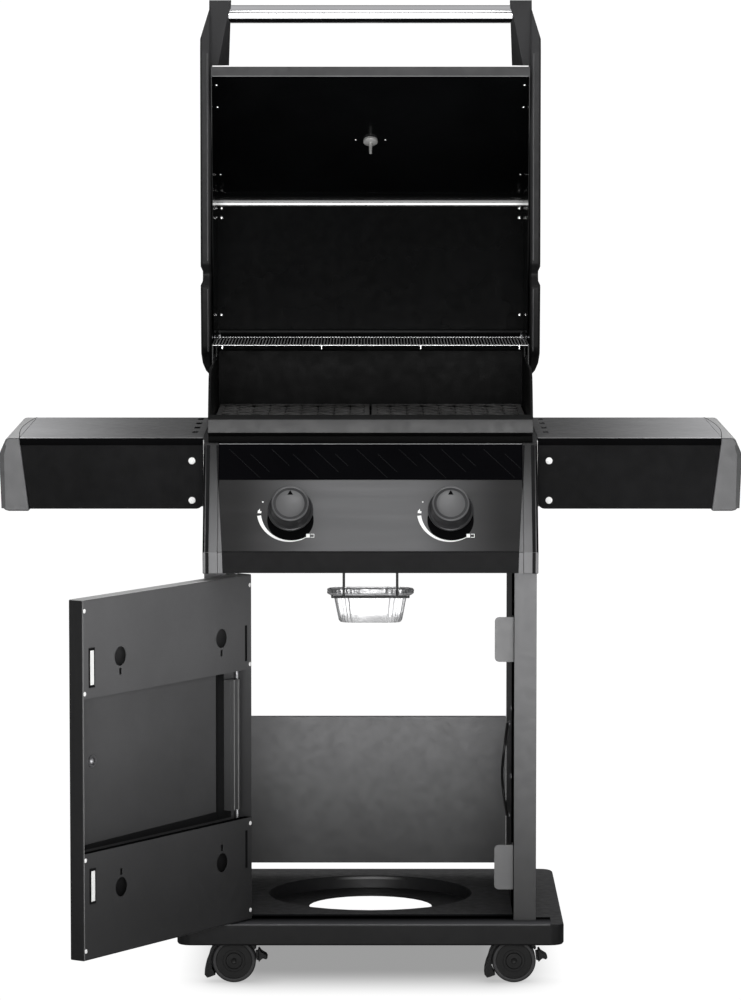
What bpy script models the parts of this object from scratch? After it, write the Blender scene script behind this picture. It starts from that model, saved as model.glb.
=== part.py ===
"""Two-burner gas barbecue grill on a cabinet cart: lid open, shelves up, door open. Metres, +Z up."""
import math

import bmesh
import bpy
from mathutils import Matrix, Vector

for old in list(bpy.data.objects):
    bpy.data.objects.remove(old, do_unlink=True)

# ---- driving dimensions -------------------------------------------------------------------
CENTRE_Y = 0.08428           # moves the assembly so that its box is centred on the origin
GAP = 0.0003                 # working gap between neighbouring pieces
SHEET = 0.0012               # cabinet sheet

BASE_HALF = 0.304            # base shelf
BASE_FRONT, BASE_BACK = -0.260, 0.275
BASE_LOW, BASE_TOP = 0.0666, 0.1005
BASE_WALL = 0.0030
RECESS_Y, RECESS_R, HOLE_R, RECESS_FLOOR = 0.038, 0.165, 0.100, 0.0800

LEG_OUT, LEG_IN = 0.2605, 0.2255     # side panels
LEG_FRONT, LEG_BACK = -0.225, 0.235
LEG_LOW, LEG_TOP = 0.1008, 0.7195
RAIL_LOW, RAIL_TOP = 0.6820, 0.6845  # ledges that carry the grease pan

CASTER_X, CASTER_FRONT, CASTER_BACK = 0.2210, -0.200, 0.215
WHEEL_R, WHEEL_HALF, TRAIL = 0.0345, 0.0160, 0.0055

DOOR_PIVOT = Vector((-0.210, -0.220, 0.0))
DOOR_OPEN = math.radians(123.4)
DOOR_X0, DOOR_X1 = -0.012, 0.432     # measured from the pivot
DOOR_OUT, DOOR_IN = -0.005, 0.0205
DOOR_LOW, DOOR_TOP = 0.1034, 0.6496
BIG_HOLE_R = 0.0150
BIG_HOLES = (0.069, 0.335)

PANEL_TILT = math.radians(26.5)      # control panel face, leaning back
PANEL_HALF = 0.2360
PANEL_TOP = (-0.2450, 0.8553)
PANEL_NOSE = (-0.3255, 0.6940)
PANEL_FOOT = (-0.3200, 0.6615)
PANEL_REAR = -0.2380
BEZEL_OUT = 0.2597
KNOB_X, KNOB_Y, KNOB_Z = 0.124, -0.2953, 0.7546

BOX_HALF, BOX_WALL = 0.2536, 0.0040  # firebox
GRATE_LOW, GRATE_TOP = 0.8768, 0.8870
BURNER_Z, BURNER_R = 0.765, 0.0125
RACK_LOW, RACK_TOP = 0.9970, 1.0000
WALL_TOP = 0.9672                    # top edge of the firebox side walls

HINGE = Vector((0.0, 0.190, 0.996))  # lid axis
LID_OPEN = math.radians(-90.0)
LID_HALF, LID_WALL = 0.2577, 0.0015
CASTING_IN, CASTING_OUT = 0.2583, 0.2755
HANDLE_Y, HANDLE_Z, HANDLE_R, HANDLE_HALF = -0.528, -0.045, 0.01475, 0.2360
ARM_TIP, ARM_ROOT = 0.2265, 0.2465   # inner faces of the handle arms: at the handle, at the lid

SHELF_IN, SHELF_OUT, SHELF_FOOT = 0.261, 0.5470, 0.5322
SHELF_FRONT, SHELF_BACK = -0.235, 0.173
SHELF_LOW, SHELF_TOP = 0.7535, 0.8655
SHELF_SHEET = 0.0015
FOLD_X, FOLD_Z = 0.2787, 0.7668

FINISH = {                            # colour, roughness, metallic
    "black_paint": ((0.020, 0.020, 0.021, 1), 0.45, 0.3),
    "black_enamel": ((0.008, 0.008, 0.009, 1), 0.08, 0.0),
    "grey_paint": ((0.055, 0.056, 0.058, 1), 0.40, 0.5),
    "cast_iron": ((0.030, 0.029, 0.028, 1), 0.60, 0.6),
    "cast_alu": ((0.045, 0.045, 0.047, 1), 0.45, 0.5),
    "chrome": ((0.80, 0.80, 0.81, 1), 0.12, 1.0),
    "steel": ((0.45, 0.45, 0.46, 1), 0.35, 1.0),
    "foil": ((0.75, 0.75, 0.76, 1), 0.25, 1.0),
    "brass": ((0.60, 0.45, 0.18, 1), 0.35, 1.0),
    "black_plastic": ((0.022, 0.022, 0.023, 1), 0.50, 0.0),
    "rubber": ((0.015, 0.015, 0.015, 1), 0.75, 0.0),
}


# ---- helpers ------------------------------------------------------------------------------
def finish(name, bm, look, spot=Vector((0, 0, 0)), turn=(0, 0, 0)):
    """Turn a bmesh into an object with its own material."""
    bmesh.ops.recalc_face_normals(bm, faces=bm.faces)
    mesh = bpy.data.meshes.new(name)
    bm.to_mesh(mesh)
    bm.free()
    thing = bpy.data.objects.new(name, mesh)
    bpy.context.scene.collection.objects.link(thing)
    thing.location = Vector(spot) + Vector((0, CENTRE_Y, 0))
    thing.rotation_euler = turn
    if look:
        colour, rough, metal = FINISH[look]
        mat = bpy.data.materials.new(name + "_mat")
        mat.use_nodes = True
        shader = mat.node_tree.nodes["Principled BSDF"]
        shader.inputs["Base Color"].default_value = colour
        shader.inputs["Roughness"].default_value = rough
        shader.inputs["Metallic"].default_value = metal
        mesh.materials.append(mat)
    return thing


def put(plane, a, b, depth):
    """Place a point of a drawing plane in space."""
    if plane == "X":
        return Vector((depth, a, b))
    if plane == "Y":
        return Vector((a, depth, b))
    return Vector((a, b, depth))


def prism(points, plane, low, high, bm=None):
    """Extrude a closed outline square to its drawing plane."""
    bm = bm or bmesh.new()
    first = [bm.verts.new(put(plane, a, b, low)) for a, b in points]
    second = [bm.verts.new(put(plane, a, b, high)) for a, b in points]
    count = len(points)
    bm.faces.new(first)
    bm.faces.new(second[::-1])
    for i in range(count):
        j = (i + 1) % count
        bm.faces.new((first[i], first[j], second[j], second[i]))
    return bm


def block(x0, x1, y0, y1, z0, z1, bm=None):
    """A rectangular block."""
    return prism(((x0, y0), (x1, y0), (x1, y1), (x0, y1)), "Z", z0, z1, bm)


def ring(outer, inner, plane, low, high):
    """Extrude an outline that has a same-count inner outline: a tube."""
    bm = bmesh.new()
    loops = []
    for line, depth in ((outer, low), (outer, high), (inner, high), (inner, low)):
        loops.append([bm.verts.new(put(plane, a, b, depth)) for a, b in line])
    count = len(outer)
    for k in range(4):
        here, there = loops[k], loops[(k + 1) % 4]
        for i in range(count):
            j = (i + 1) % count
            bm.faces.new((here[i], here[j], there[j], there[i]))
    return bm


def circle(r, count=24, a=0.0, b=0.0):
    """Points round a circle."""
    step = 2 * math.pi / count
    return [(a + r * math.cos(i * step), b + r * math.sin(i * step)) for i in range(count)]


def revolve(profile, count=24):
    """Turn a profile of (radius, height) about Z; open ends lie on the axis."""
    bm = bmesh.new()
    rings = []
    for r, h in profile:
        if r == 0:
            rings.append([bm.verts.new((0, 0, h))])
        else:
            rings.append([bm.verts.new((x, y, h)) for x, y in circle(r, count)])
    pairs = list(zip(rings, rings[1:]))
    if len(rings[0]) > 1:
        pairs.append((rings[-1], rings[0]))
    for here, there in pairs:
        for i in range(count):
            j = (i + 1) % count
            if len(here) == 1:
                bm.faces.new((here[0], there[i], there[j]))
            elif len(there) == 1:
                bm.faces.new((here[i], here[j], there[0]))
            else:
                bm.faces.new((here[i], here[j], there[j], there[i]))
    return bm


def rounded(corners, steps=4):
    """Round an outline's corners; each corner is (a, b, radius)."""
    out = []
    count = len(corners)
    for i, (a, b, r) in enumerate(corners):
        if r == 0:
            out.append((a, b))
            continue
        here = Vector((a, b))
        back = (Vector(corners[i - 1][:2]) - here).normalized()
        ahead = (Vector(corners[(i + 1) % count][:2]) - here).normalized()
        half = back.angle(ahead) / 2
        centre = here + (back + ahead).normalized() * (r / math.sin(half))
        start = here + back * (r / math.tan(half)) - centre
        sweep = (here + ahead * (r / math.tan(half)) - centre).to_2d()
        turn = start.angle_signed(sweep)
        for k in range(steps + 1):
            spin = -turn * k / steps
            cos, sin = math.cos(spin), math.sin(spin)
            out.append((centre.x + start.x * cos - start.y * sin, centre.y + start.x * sin + start.y * cos))
    return out


def inset(points, by):
    """Move a closed outline inwards (outwards when negative)."""
    area = sum(points[i - 1][0] * p[1] - p[0] * points[i - 1][1] for i, p in enumerate(points))
    side = 1 if area > 0 else -1
    out = []
    count = len(points)
    for i in range(count):
        here = Vector(points[i])
        a = (here - Vector(points[i - 1])).normalized()
        b = (Vector(points[(i + 1) % count]) - here).normalized()
        na, nb = Vector((-a.y, a.x)) * side, Vector((-b.y, b.x)) * side
        mid = (na + nb).normalized()
        spot = here + mid * (by / max(0.35, mid.dot(na)))
        out.append((spot.x, spot.y))
    return out


def folded(points, thick):
    """Outline of a folded sheet that follows an open line; positive goes to the line's left."""
    back = []
    last = len(points) - 1
    for i in range(last + 1):
        here = Vector(points[i])
        a = (here - Vector(points[i - 1])).normalized() if i else None
        b = (Vector(points[i + 1]) - here).normalized() if i < last else None
        a = a or b
        b = b or a
        na, nb = Vector((-a.y, a.x)), Vector((-b.y, b.x))
        mid = (na + nb).normalized()
        spot = here + mid * (thick / mid.dot(na))
        back.append((spot.x, spot.y))
    return list(points) + back[::-1]


def lattice(xs, ys, solid, z0, z1):
    """A flat grille: the cells between the grid lines for which solid(i, j) holds."""
    bm = bmesh.new()
    spots = {}

    def vert(i, j, z):
        key = (i, j, z)
        if key not in spots:
            spots[key] = bm.verts.new((xs[i], ys[j], z))
        return spots[key]

    def full(i, j):
        inside = 0 <= i < len(xs) - 1 and 0 <= j < len(ys) - 1
        return inside and solid(i, j)

    for i in range(len(xs) - 1):
        for j in range(len(ys) - 1):
            if not full(i, j):
                continue
            square = ((i, j), (i + 1, j), (i + 1, j + 1), (i, j + 1))
            bm.faces.new([vert(a, b, z1) for a, b in square])
            bm.faces.new([vert(a, b, z0) for a, b in square[::-1]])
            for k, (di, dj) in enumerate(((0, -1), (1, 0), (0, 1), (-1, 0))):
                if not full(i + di, j + dj):
                    a, b = square[k], square[(k + 1) % 4]
                    bm.faces.new((vert(*a, z0), vert(*b, z0), vert(*b, z1), vert(*a, z1)))
    return bm


def move(bm, matrix):
    """Transform a whole bmesh."""
    bmesh.ops.transform(bm, matrix=matrix, verts=bm.verts)
    return bm


def along(axis, spot=(0, 0, 0)):
    """Matrix that lays a Z-turned shape along X or Y at a spot."""
    turn = Matrix.Rotation(math.pi / 2, 4, "Y") if axis == "X" else Matrix.Rotation(-math.pi / 2, 4, "X")
    return Matrix.Translation(spot) @ turn


def combine(thing, bm, how):
    """Cut with, or join, another closed shape drawn in the thing's own coordinates."""
    tool = finish("tool_%s_%d" % (thing.name, len(thing.modifiers)), bm, None)
    tool.location = thing.location
    tool.rotation_euler = thing.rotation_euler
    tool.hide_render = True
    tool.display_type = "WIRE"
    step = thing.modifiers.new("%s_%d" % (how.lower(), len(thing.modifiers)), "BOOLEAN")
    step.operation = how
    step.solver = "EXACT"
    step.object = tool


def cut(thing, bm):
    combine(thing, bm, "DIFFERENCE")


def join(thing, bm):
    combine(thing, bm, "UNION")


def bevel(thing, width, segments=2, angle=40):
    """Round the sharp edges."""
    step = thing.modifiers.new("edge", "BEVEL")
    step.width = width
    step.segments = segments
    step.limit_method = "ANGLE"
    step.angle_limit = math.radians(angle)


# ---- base shelf and cabinet ---------------------------------------------------------------
def base_outline(inward, radius):
    x, y0, y1 = BASE_HALF - inward, BASE_FRONT + inward, BASE_BACK - inward
    return rounded(((-x, y0, radius), (x, y0, radius), (x, y1, radius), (-x, y1, radius)))


base = finish("base_shelf", prism(base_outline(0, 0.022), "Z", BASE_LOW, BASE_TOP), "black_paint")
bevel(base, 0.0035, 2, 60)
cut(base, prism(base_outline(BASE_WALL, 0.019), "Z", BASE_LOW - 0.02, BASE_TOP - BASE_WALL))
join(base,
     prism(circle(RECESS_R + BASE_WALL, 32, 0, RECESS_Y), "Z", RECESS_FLOOR - BASE_WALL, BASE_TOP - 0.001))
cut(base, prism(circle(RECESS_R, 32, 0, RECESS_Y), "Z", RECESS_FLOOR, BASE_TOP + 0.02))
cut(base, prism(circle(HOLE_R, 32, 0, RECESS_Y), "Z", BASE_LOW - 0.02, BASE_TOP + 0.02))

for side, tag in ((-1, "left"), (1, "right")):
    outer = [(side * a, b) for a, b in (
        (LEG_IN, LEG_FRONT), (LEG_OUT, LEG_FRONT), (LEG_OUT, LEG_BACK), (LEG_IN, LEG_BACK))]
    leg = finish(tag + "_side_panel", ring(outer, inset(outer, SHEET), "Z", LEG_LOW, LEG_TOP),
                 "black_paint")
    ledge = sorted((side * 0.2110, side * (LEG_IN + 0.0008)))
    join(leg, block(ledge[0], ledge[1], -0.195, 0.222, RAIL_LOW, RAIL_TOP))
    if side < 0:
        join(leg, block(-LEG_IN - 0.0008, -0.2030, -0.2270, -0.2120, 0.6515, 0.6535))
        cut(leg, prism(circle(0.0036, 12, DOOR_PIVOT.x, DOOR_PIVOT.y), "Z", 0.6500, 0.6550))

REAR_LOW, REAR_TOP = 0.1190, 0.3640
REAR_FLANGE, REAR_FACE = LEG_BACK - 0.001, LEG_BACK - 0.013
rear_line = ((REAR_FLANGE, REAR_LOW), (REAR_FACE, REAR_LOW), (REAR_FACE, REAR_TOP), (REAR_FLANGE, REAR_TOP))
rear = folded(rear_line, -SHEET)
finish("rear_panel", prism(rear, "X", 0.0005 - LEG_IN, LEG_IN - 0.0005), "grey_paint")

rod = prism(circle(0.0030, 12, DOOR_PIVOT.x, DOOR_PIVOT.y), "Z", 0.1008, 0.6560)
finish("door_hinge_rod", rod, "steel")

CATCH_IN, CATCH_OUT, CATCH_Y, CATCH_TALL, CATCH_SHEET = 0.1955, 0.2252, -0.1985, 0.071, 0.0014
for tag, low in (("upper", 0.508), ("lower", 0.146)):
    face = rounded(((CATCH_IN, low, 0.007), (CATCH_OUT, low, 0), (CATCH_OUT, low + CATCH_TALL, 0),
                    (CATCH_IN, low + CATCH_TALL, 0.007)))
    plate = finish(tag + "_catch_plate", prism(face, "Y", CATCH_Y, CATCH_Y + CATCH_SHEET), "grey_paint")
    join(plate, block(CATCH_OUT - CATCH_SHEET, CATCH_OUT - 0.0001, CATCH_Y + 0.0004, -0.1700,
                      low + 0.0005, low + CATCH_TALL - 0.0005))

# ---- door: drawn shut, round its own axis, then swung open --------------------------------
SWUNG = (0, 0, -DOOR_OPEN)
door = finish("door_shell", block(DOOR_X0, DOOR_X1, DOOR_OUT, DOOR_IN, DOOR_LOW, DOOR_TOP),
              "grey_paint", DOOR_PIVOT, SWUNG)
bevel(door, 0.0018, 2)
cut(door, block(DOOR_X0 + SHEET, DOOR_X1 - SHEET, DOOR_OUT + SHEET, DOOR_IN + 0.01,
                DOOR_LOW + SHEET, DOOR_TOP - SHEET))
cut(door, prism(circle(0.0037, 12), "Z", DOOR_LOW - 0.01, DOOR_TOP + 0.01))

PLATE_EDGE = SHEET + GAP
for tag, edge, far, hole_z, slot_z in (("upper", DOOR_TOP - PLATE_EDGE, 0.5000, 0.5560, 0.5330),
                                       ("lower", DOOR_LOW + PLATE_EDGE, 0.2655, 0.2035, 0.2270)):
    lip = 0.0120
    line = ((DOOR_IN - 0.0006, edge), (DOOR_IN - 0.0006, far), (DOOR_IN - 0.0006 - lip, far))
    outline = folded(line, -0.0012 if tag == "upper" else 0.0012)
    plate = finish("door_%s_plate" % tag, prism(outline, "X", DOOR_X0 + PLATE_EDGE, DOOR_X1 - PLATE_EDGE),
                   "grey_paint", DOOR_PIVOT, SWUNG)
    holes = bmesh.new()
    for x in BIG_HOLES:
        prism(circle(BIG_HOLE_R, 20, x, hole_z), "Y", 0.005, 0.03, holes)
        wide, tall = 0.0030, 0.0050
        prism(((x - wide, slot_z - tall), (x + wide, slot_z - tall), (x + wide, slot_z + tall),
               (x - wide, slot_z + tall)), "Y", 0.005, 0.03, holes)
    cut(plate, holes)

GRIP_X, GRIP_Z = 0.3766, 0.399
grip = ((-0.0053, GRIP_Z - 0.010), (-0.0220, GRIP_Z - 0.014), (-0.0220, GRIP_Z - 0.062),
        (-0.0300, GRIP_Z - 0.064),
        (-0.0300, GRIP_Z + 0.064), (-0.0220, GRIP_Z + 0.062), (-0.0220, GRIP_Z + 0.014),
        (-0.0053, GRIP_Z + 0.010))
pull = finish("door_handle", prism(grip, "X", GRIP_X - 0.008, GRIP_X + 0.008), "steel", DOOR_PIVOT, SWUNG)
bevel(pull, 0.0020, 2)

# ---- control panel and gas train ----------------------------------------------------------
front_line = ((PANEL_REAR, PANEL_TOP[1]), PANEL_TOP, PANEL_NOSE, PANEL_FOOT, (-0.3000, PANEL_FOOT[1]))
panel = finish("control_panel", prism(folded(front_line, 0.0015), "X", -PANEL_HALF, PANEL_HALF),
               "grey_paint")
KNOB_TURN = (math.pi / 2 - PANEL_TILT, 0, 0)
holes = bmesh.new()
for side in (-1, 1):
    prism(circle(0.0065, 16, side * KNOB_X, 0), "Z", -0.01, 0.01, holes)
combine(panel, holes, "DIFFERENCE")
bpy.data.objects["tool_control_panel_0"].location = Vector((0, KNOB_Y + CENTRE_Y, KNOB_Z))
bpy.data.objects["tool_control_panel_0"].rotation_euler = KNOB_TURN

bezel_side = ((PANEL_REAR, 0.8575), (-0.2465, 0.8575), (-0.3275, 0.6945), (-0.3215, 0.6605),
              (-0.2750, 0.6605), (PANEL_REAR, 0.7050))
for side, tag in ((-1, "left"), (1, "right")):
    ends = sorted((side * (PANEL_HALF + GAP), side * BEZEL_OUT))
    cheek = finish(tag + "_end_bezel", prism(bezel_side, "X", *ends), "cast_alu")
    bevel(cheek, 0.0015, 2)

MANIFOLD_Y, MANIFOLD_Z = -0.2468, 0.7237
pipe = ring(circle(0.0105, 20, MANIFOLD_Y, MANIFOLD_Z), circle(0.0080, 20, MANIFOLD_Y, MANIFOLD_Z), "X",
            -0.2, 0.2)
finish("manifold", pipe, "steel")

for side, tag in ((-1, "left"), (1, "right")):
    spot = Vector((side * KNOB_X, KNOB_Y, KNOB_Z))
    valve = finish(tag + "_valve_body", block(-0.014, 0.014, -0.016, 0.034, -0.046, -0.0215), "brass",
                   spot, KNOB_TURN)
    join(valve, prism(circle(0.0098, 20), "Z", -0.0240, -0.0030))
    jet_tilt = Matrix.Rotation(-KNOB_TURN[0], 4, "X")
    reach = jet_tilt @ Vector((0, -0.2521 - KNOB_Y, BURNER_Z - KNOB_Z))
    jet = move(prism(circle(0.0040, 12), "Z", -0.004, 0.0230),
               Matrix.Translation(reach) @ jet_tilt @ along("Y"))
    join(valve, jet)
    cut(valve, prism(circle(0.0078, 20), "Z", -0.0215, 0.01))
    cut(valve, prism(circle(0.0046, 16), "Z", -0.0362, -0.02))
    plunger = ring(circle(0.0074, 20), circle(0.0044, 20), "Z", -0.0145, -0.0050)
    finish(tag + "_valve_plunger", plunger, "steel", spot, KNOB_TURN)
    finish(tag + "_valve_stem", prism(circle(0.0040, 16), "Z", -0.0285, 0.0270), "steel", spot, KNOB_TURN)
    cap = ((0, 0.0370), (0.0150, 0.0364), (0.0250, 0.0352), (0.0262, 0.0366), (0.0280, 0.0360),
           (0.0292, 0.0330),
           (0.0298, 0.0150), (0.0325, 0.0122), (0.0351, 0.0098), (0.0351, 0.0070), (0.0044, 0.0070),
           (0.0044, 0.0280), (0, 0.0280))
    finish(tag + "_knob", revolve(cap, 24), "black_plastic", spot, KNOB_TURN)

# ---- firebox and what stands in it --------------------------------------------------------
box_side = ((-0.235, 0.893), (-0.235, 0.8725), (-0.2152, 0.8655), (-0.190, 0.720), (0.150, 0.720),
            (0.198, 0.840), (0.198, 0.975), (0.1765, 0.975), (0.1775, 0.983), (0.186, 0.9855),
            (0.1965, 0.988), (0.2005, 0.996), (0.1975, 1.003), (0.184, 1.007), (0.160, 1.003),
            (0.150, WALL_TOP), (-0.165, WALL_TOP), (-0.196, 0.958), (-0.212, 0.938))
hollow = ((-0.231, 1.2), (-0.231, 0.8765), (-0.2085, 0.8765), (-0.185, 0.7245), (0.146, 0.7245),
          (0.178, 0.8765), (0.194, 0.8765), (0.194, 0.9740), (0.230, 0.9740), (0.230, 1.2))
firebox = finish("firebox", prism(box_side, "X", -BOX_HALF, BOX_HALF), "cast_alu")
cut(firebox, prism(hollow, "X", BOX_WALL - BOX_HALF, BOX_HALF - BOX_WALL))
openings = block(-0.120, 0.120, -0.090, 0.070, 0.70, 0.74)
for side in (-1, 1):
    prism(circle(0.0136, 20, side * KNOB_X, BURNER_Z), "Y", -0.26, -0.15, openings)
prism(circle(0.0052, 16, HINGE.y, HINGE.z), "X", -0.30, 0.30, openings)
cut(firebox, openings)

for side, tag in ((-1, "left"), (1, "right")):
    centre = side * KNOB_X
    burner = revolve(((0, 0.140), (0.0085, 0.140), (BURNER_R, 0.136), (BURNER_R, -0.232), (0.0100, -0.232),
                      (0.0100, -0.100), (0.0040, -0.095), (0, -0.095)), 16)
    finish(tag + "_burner", move(burner, along("Y")), "steel", (centre, 0, BURNER_Z))
    roof = folded(((-0.045, 0.800), (-0.006, 0.826), (0.006, 0.826), (0.045, 0.800)), -0.0015)
    tamer = prism([(centre + a, b) for a, b in roof], "Y", -0.190, 0.158)
    finish(tag + "_sear_plate", tamer, "steel")
    bars = 8
    pitch = (0.245 - 0.010) / bars
    xs = []
    for k in range(bars + 1):
        xs += [0.0015 + k * pitch, 0.0015 + k * pitch + 0.010]
    ys = [-0.228, -0.216, -0.098, -0.090, 0.036, 0.044, 0.180, 0.191]
    grate = lattice([side * x for x in xs], ys, lambda i, j: i % 2 == 0 or j % 2 == 0, GRATE_LOW, GRATE_TOP)
    finish(tag + "_cooking_grid", grate, "cast_iron")

wires = 11
span = 0.506 - 0.003
xs = []
for k in range(wires + 1):
    xs += [-0.253 + k * span / wires, -0.253 + k * span / wires + 0.003]
ys = [-0.0600, -0.0570, 0.0460, 0.0490, 0.1520, 0.1550]
rack = finish("warming_rack",
              lattice(xs, ys, lambda i, j: i % 2 == 0 or j in (0, 2, 4), RACK_LOW, RACK_TOP), "chrome")
feet = bmesh.new()
for side in (-1, 1):
    x0, x1 = sorted((side * 0.2501, side * 0.2529))
    for y in (-0.0599, 0.1300):
        block(x0, x1, y, y + 0.0028, WALL_TOP + GAP, RACK_LOW + 0.001, feet)
join(rack, feet)

PAN_X, PAN_Y0, PAN_Y1, PAN_LOW, PAN_TOP = 0.2230, -0.185, 0.200, 0.6850, 0.7120
pan = finish("grease_pan", block(-PAN_X, PAN_X, PAN_Y0, PAN_Y1, PAN_LOW, PAN_TOP), "steel")
cut(pan, block(-PAN_X + 0.0015, PAN_X - 0.0015, PAN_Y0 + 0.0015, PAN_Y1 - 0.0015, PAN_LOW + 0.0015,
               PAN_TOP + 0.01))
cut(pan, prism(circle(0.020, 20), "Z", PAN_LOW - 0.01, PAN_LOW + 0.01))

CUP_TOP, CUP_LOW = 0.6000, 0.5510
xs = (-0.0630, -0.0600, -0.0445, -0.0415, 0.0415, 0.0445, 0.0600, 0.0630)
ys = (-0.0545, -0.0515, -0.0485, -0.0455, 0.0455, 0.0485, 0.0515, 0.0545)
posts = {(i, j) for i in (2, 4) for j in (0, 6)}


def hanger_cell(i, j):
    frame = 1 <= j <= 5 and (i in (0, 6) or j in (2, 4) and 0 <= i <= 6)
    return frame and j in (2, 3, 4) or i in (2, 4) and j in (0, 1, 5, 6)


hanger = finish("cup_hanger", lattice(xs, ys, hanger_cell, 0.5935, 0.5965), "chrome")
arms = bmesh.new()
for i, j in sorted(posts):
    block(xs[i] + 0.0002, xs[i + 1] - 0.0002, ys[j] + 0.0002, ys[j + 1] - 0.0002, 0.5945, PAN_LOW - GAP,
          arms)
join(hanger, arms)


def tray_loop(x, y, radius):
    return rounded(((-x, -y, radius), (x, -y, radius), (x, y, radius), (-x, y, radius)), 3)


levels = ((0.0700, 0.0500, CUP_TOP), (0.0700, 0.0500, CUP_TOP - 0.0012), (0.0585, 0.0445, CUP_TOP - 0.0014),
          (0.0500, 0.0370, CUP_LOW), (None, None, CUP_LOW), (0.0490, 0.0360, CUP_LOW + 0.0008),
          (0.0575, 0.0435, CUP_TOP))
cup = bmesh.new()
rims = [[cup.verts.new((x, y, z)) for x, y in tray_loop(w, d, 0.012)] for w, d, z in levels if w]
for here, there in zip(rims, rims[1:]):
    if here is rims[3]:
        continue
    for i in range(len(here)):
        j = (i + 1) % len(here)
        cup.faces.new((here[i], here[j], there[j], there[i]))
for i in range(len(rims[0])):
    j = (i + 1) % len(rims[0])
    cup.faces.new((rims[-1][i], rims[-1][j], rims[0][j], rims[0][i]))
cup.faces.new(rims[3])
cup.faces.new(rims[4])
finish("foil_cup", cup, "foil")

# ---- lid: drawn shut round its hinge axis, then swung open --------------------------------
TIPPED = (LID_OPEN, 0, 0)
LIP, BEND, BACK = (-0.4435, -0.099), (-0.226, 0.212), (0.0155, 0.180)
LIP_EDGE = -0.4275                   # free edge of the flange that stiffens the lip
skin = rounded(((*LIP, 0), (*BEND, 0.030), (*BACK, 0.022), (0.0155, -0.010, 0), (-0.060, -0.040, 0),
                (LIP_EDGE + 0.002, LIP[1], 0)), 5)
room = rounded(((-0.4407, -0.0975, 0), (-0.2252, 0.2102, 0.0285), (0.0140, 0.1783, 0.0205),
                (0.0140, -0.200, 0),
                (LIP_EDGE, -0.200, 0), (LIP_EDGE, -0.0975, 0)), 5)
lid = finish("lid_shell", prism(skin, "X", -LID_HALF, LID_HALF), "black_enamel", HINGE, TIPPED)
cut(lid, prism(room, "X", LID_WALL - LID_HALF, LID_HALF - LID_WALL))
GAUGE_Y = -0.323
GAUGE_AT = Vector((0, GAUGE_Y, LIP[1] + (GAUGE_Y - LIP[0]) * (BEND[1] - LIP[1]) / (BEND[0] - LIP[0])))
face = Vector((0, BEND[0] - LIP[0], BEND[1] - LIP[1])).normalized()
outward = Vector((0, -face.z, face.y))
gauge_turn = Vector((0, 0, 1)).rotation_difference(outward).to_matrix().to_4x4()
bores = prism(circle(0.0065, 16), "X", -0.30, 0.30)
cut(lid, bores)
gauge_bore = prism(circle(0.0062, 16), "Z", -0.02, 0.02)
cut(lid, move(gauge_bore, Matrix.Translation(GAUGE_AT) @ gauge_turn))

dial = revolve(((0, 0.0130), (0.0330, 0.0130), (0.0350, 0.0150), (0.0375, 0.0140), (0.0375, 0.0006),
                (0.0058, 0.0006),
                (0.0058, -0.0021), (0.0117, -0.0021), (0.0117, -0.0066), (0.0085, -0.0084),
                (0.0030, -0.0088),
                (0.0022, -0.0285), (0, -0.0285)), 20)
move(dial, Matrix.Translation(GAUGE_AT + outward * 0.0004) @ gauge_turn)
finish("thermometer", dial, "chrome", HINGE, TIPPED)

arm_side = rounded((
    (-0.552, -0.060, 0.010), (-0.470, -0.088, 0.030), (-0.125, -0.092, 0.012), (-0.106, -0.080, 0.008),
    (-0.088, -0.094, 0.012), (0.022, -0.078, 0.030), (0.0630, -0.020, 0.036), (0.046, 0.150, 0.030),
    (0.000, 0.200, 0.030), (-0.215, 0.236, 0.040), (-0.475, -0.028, 0.030), (-0.552, -0.024, 0.008)), 3)
hollow_side = ((-0.440, -0.0812), (-0.128, -0.0850), (-0.107, -0.0720), (-0.086, -0.0865), (0.016, -0.0715),
               (0.036, -0.0440), (0.036, 0.1450), (-0.004, 0.1925), (-0.212, 0.2270), (-0.440, -0.0045))
WEDGE_TIP, WEDGE_ROOT = -0.5505, -0.4450     # reach of the inner wedge along the arm
MILLED = (                                   # outer face, cut back at the tip, the notch and the hinge lobe
    ((CASTING_OUT + 0.01, -0.488), (CASTING_OUT, -0.488), (0.2560, -0.5525), (CASTING_OUT + 0.01, -0.560)),
    ((CASTING_OUT + 0.01, -0.120), (CASTING_OUT, -0.120), (0.2722, -0.113), (0.2722, -0.097),
     (CASTING_OUT, -0.090), (CASTING_OUT + 0.01, -0.090)),
    ((CASTING_OUT + 0.01, 0.022), (CASTING_OUT, 0.022), (0.2738, 0.038), (0.2690, 0.052), (0.2605, 0.0635),
     (0.2605, 0.070), (CASTING_OUT + 0.01, 0.070)))
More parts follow.
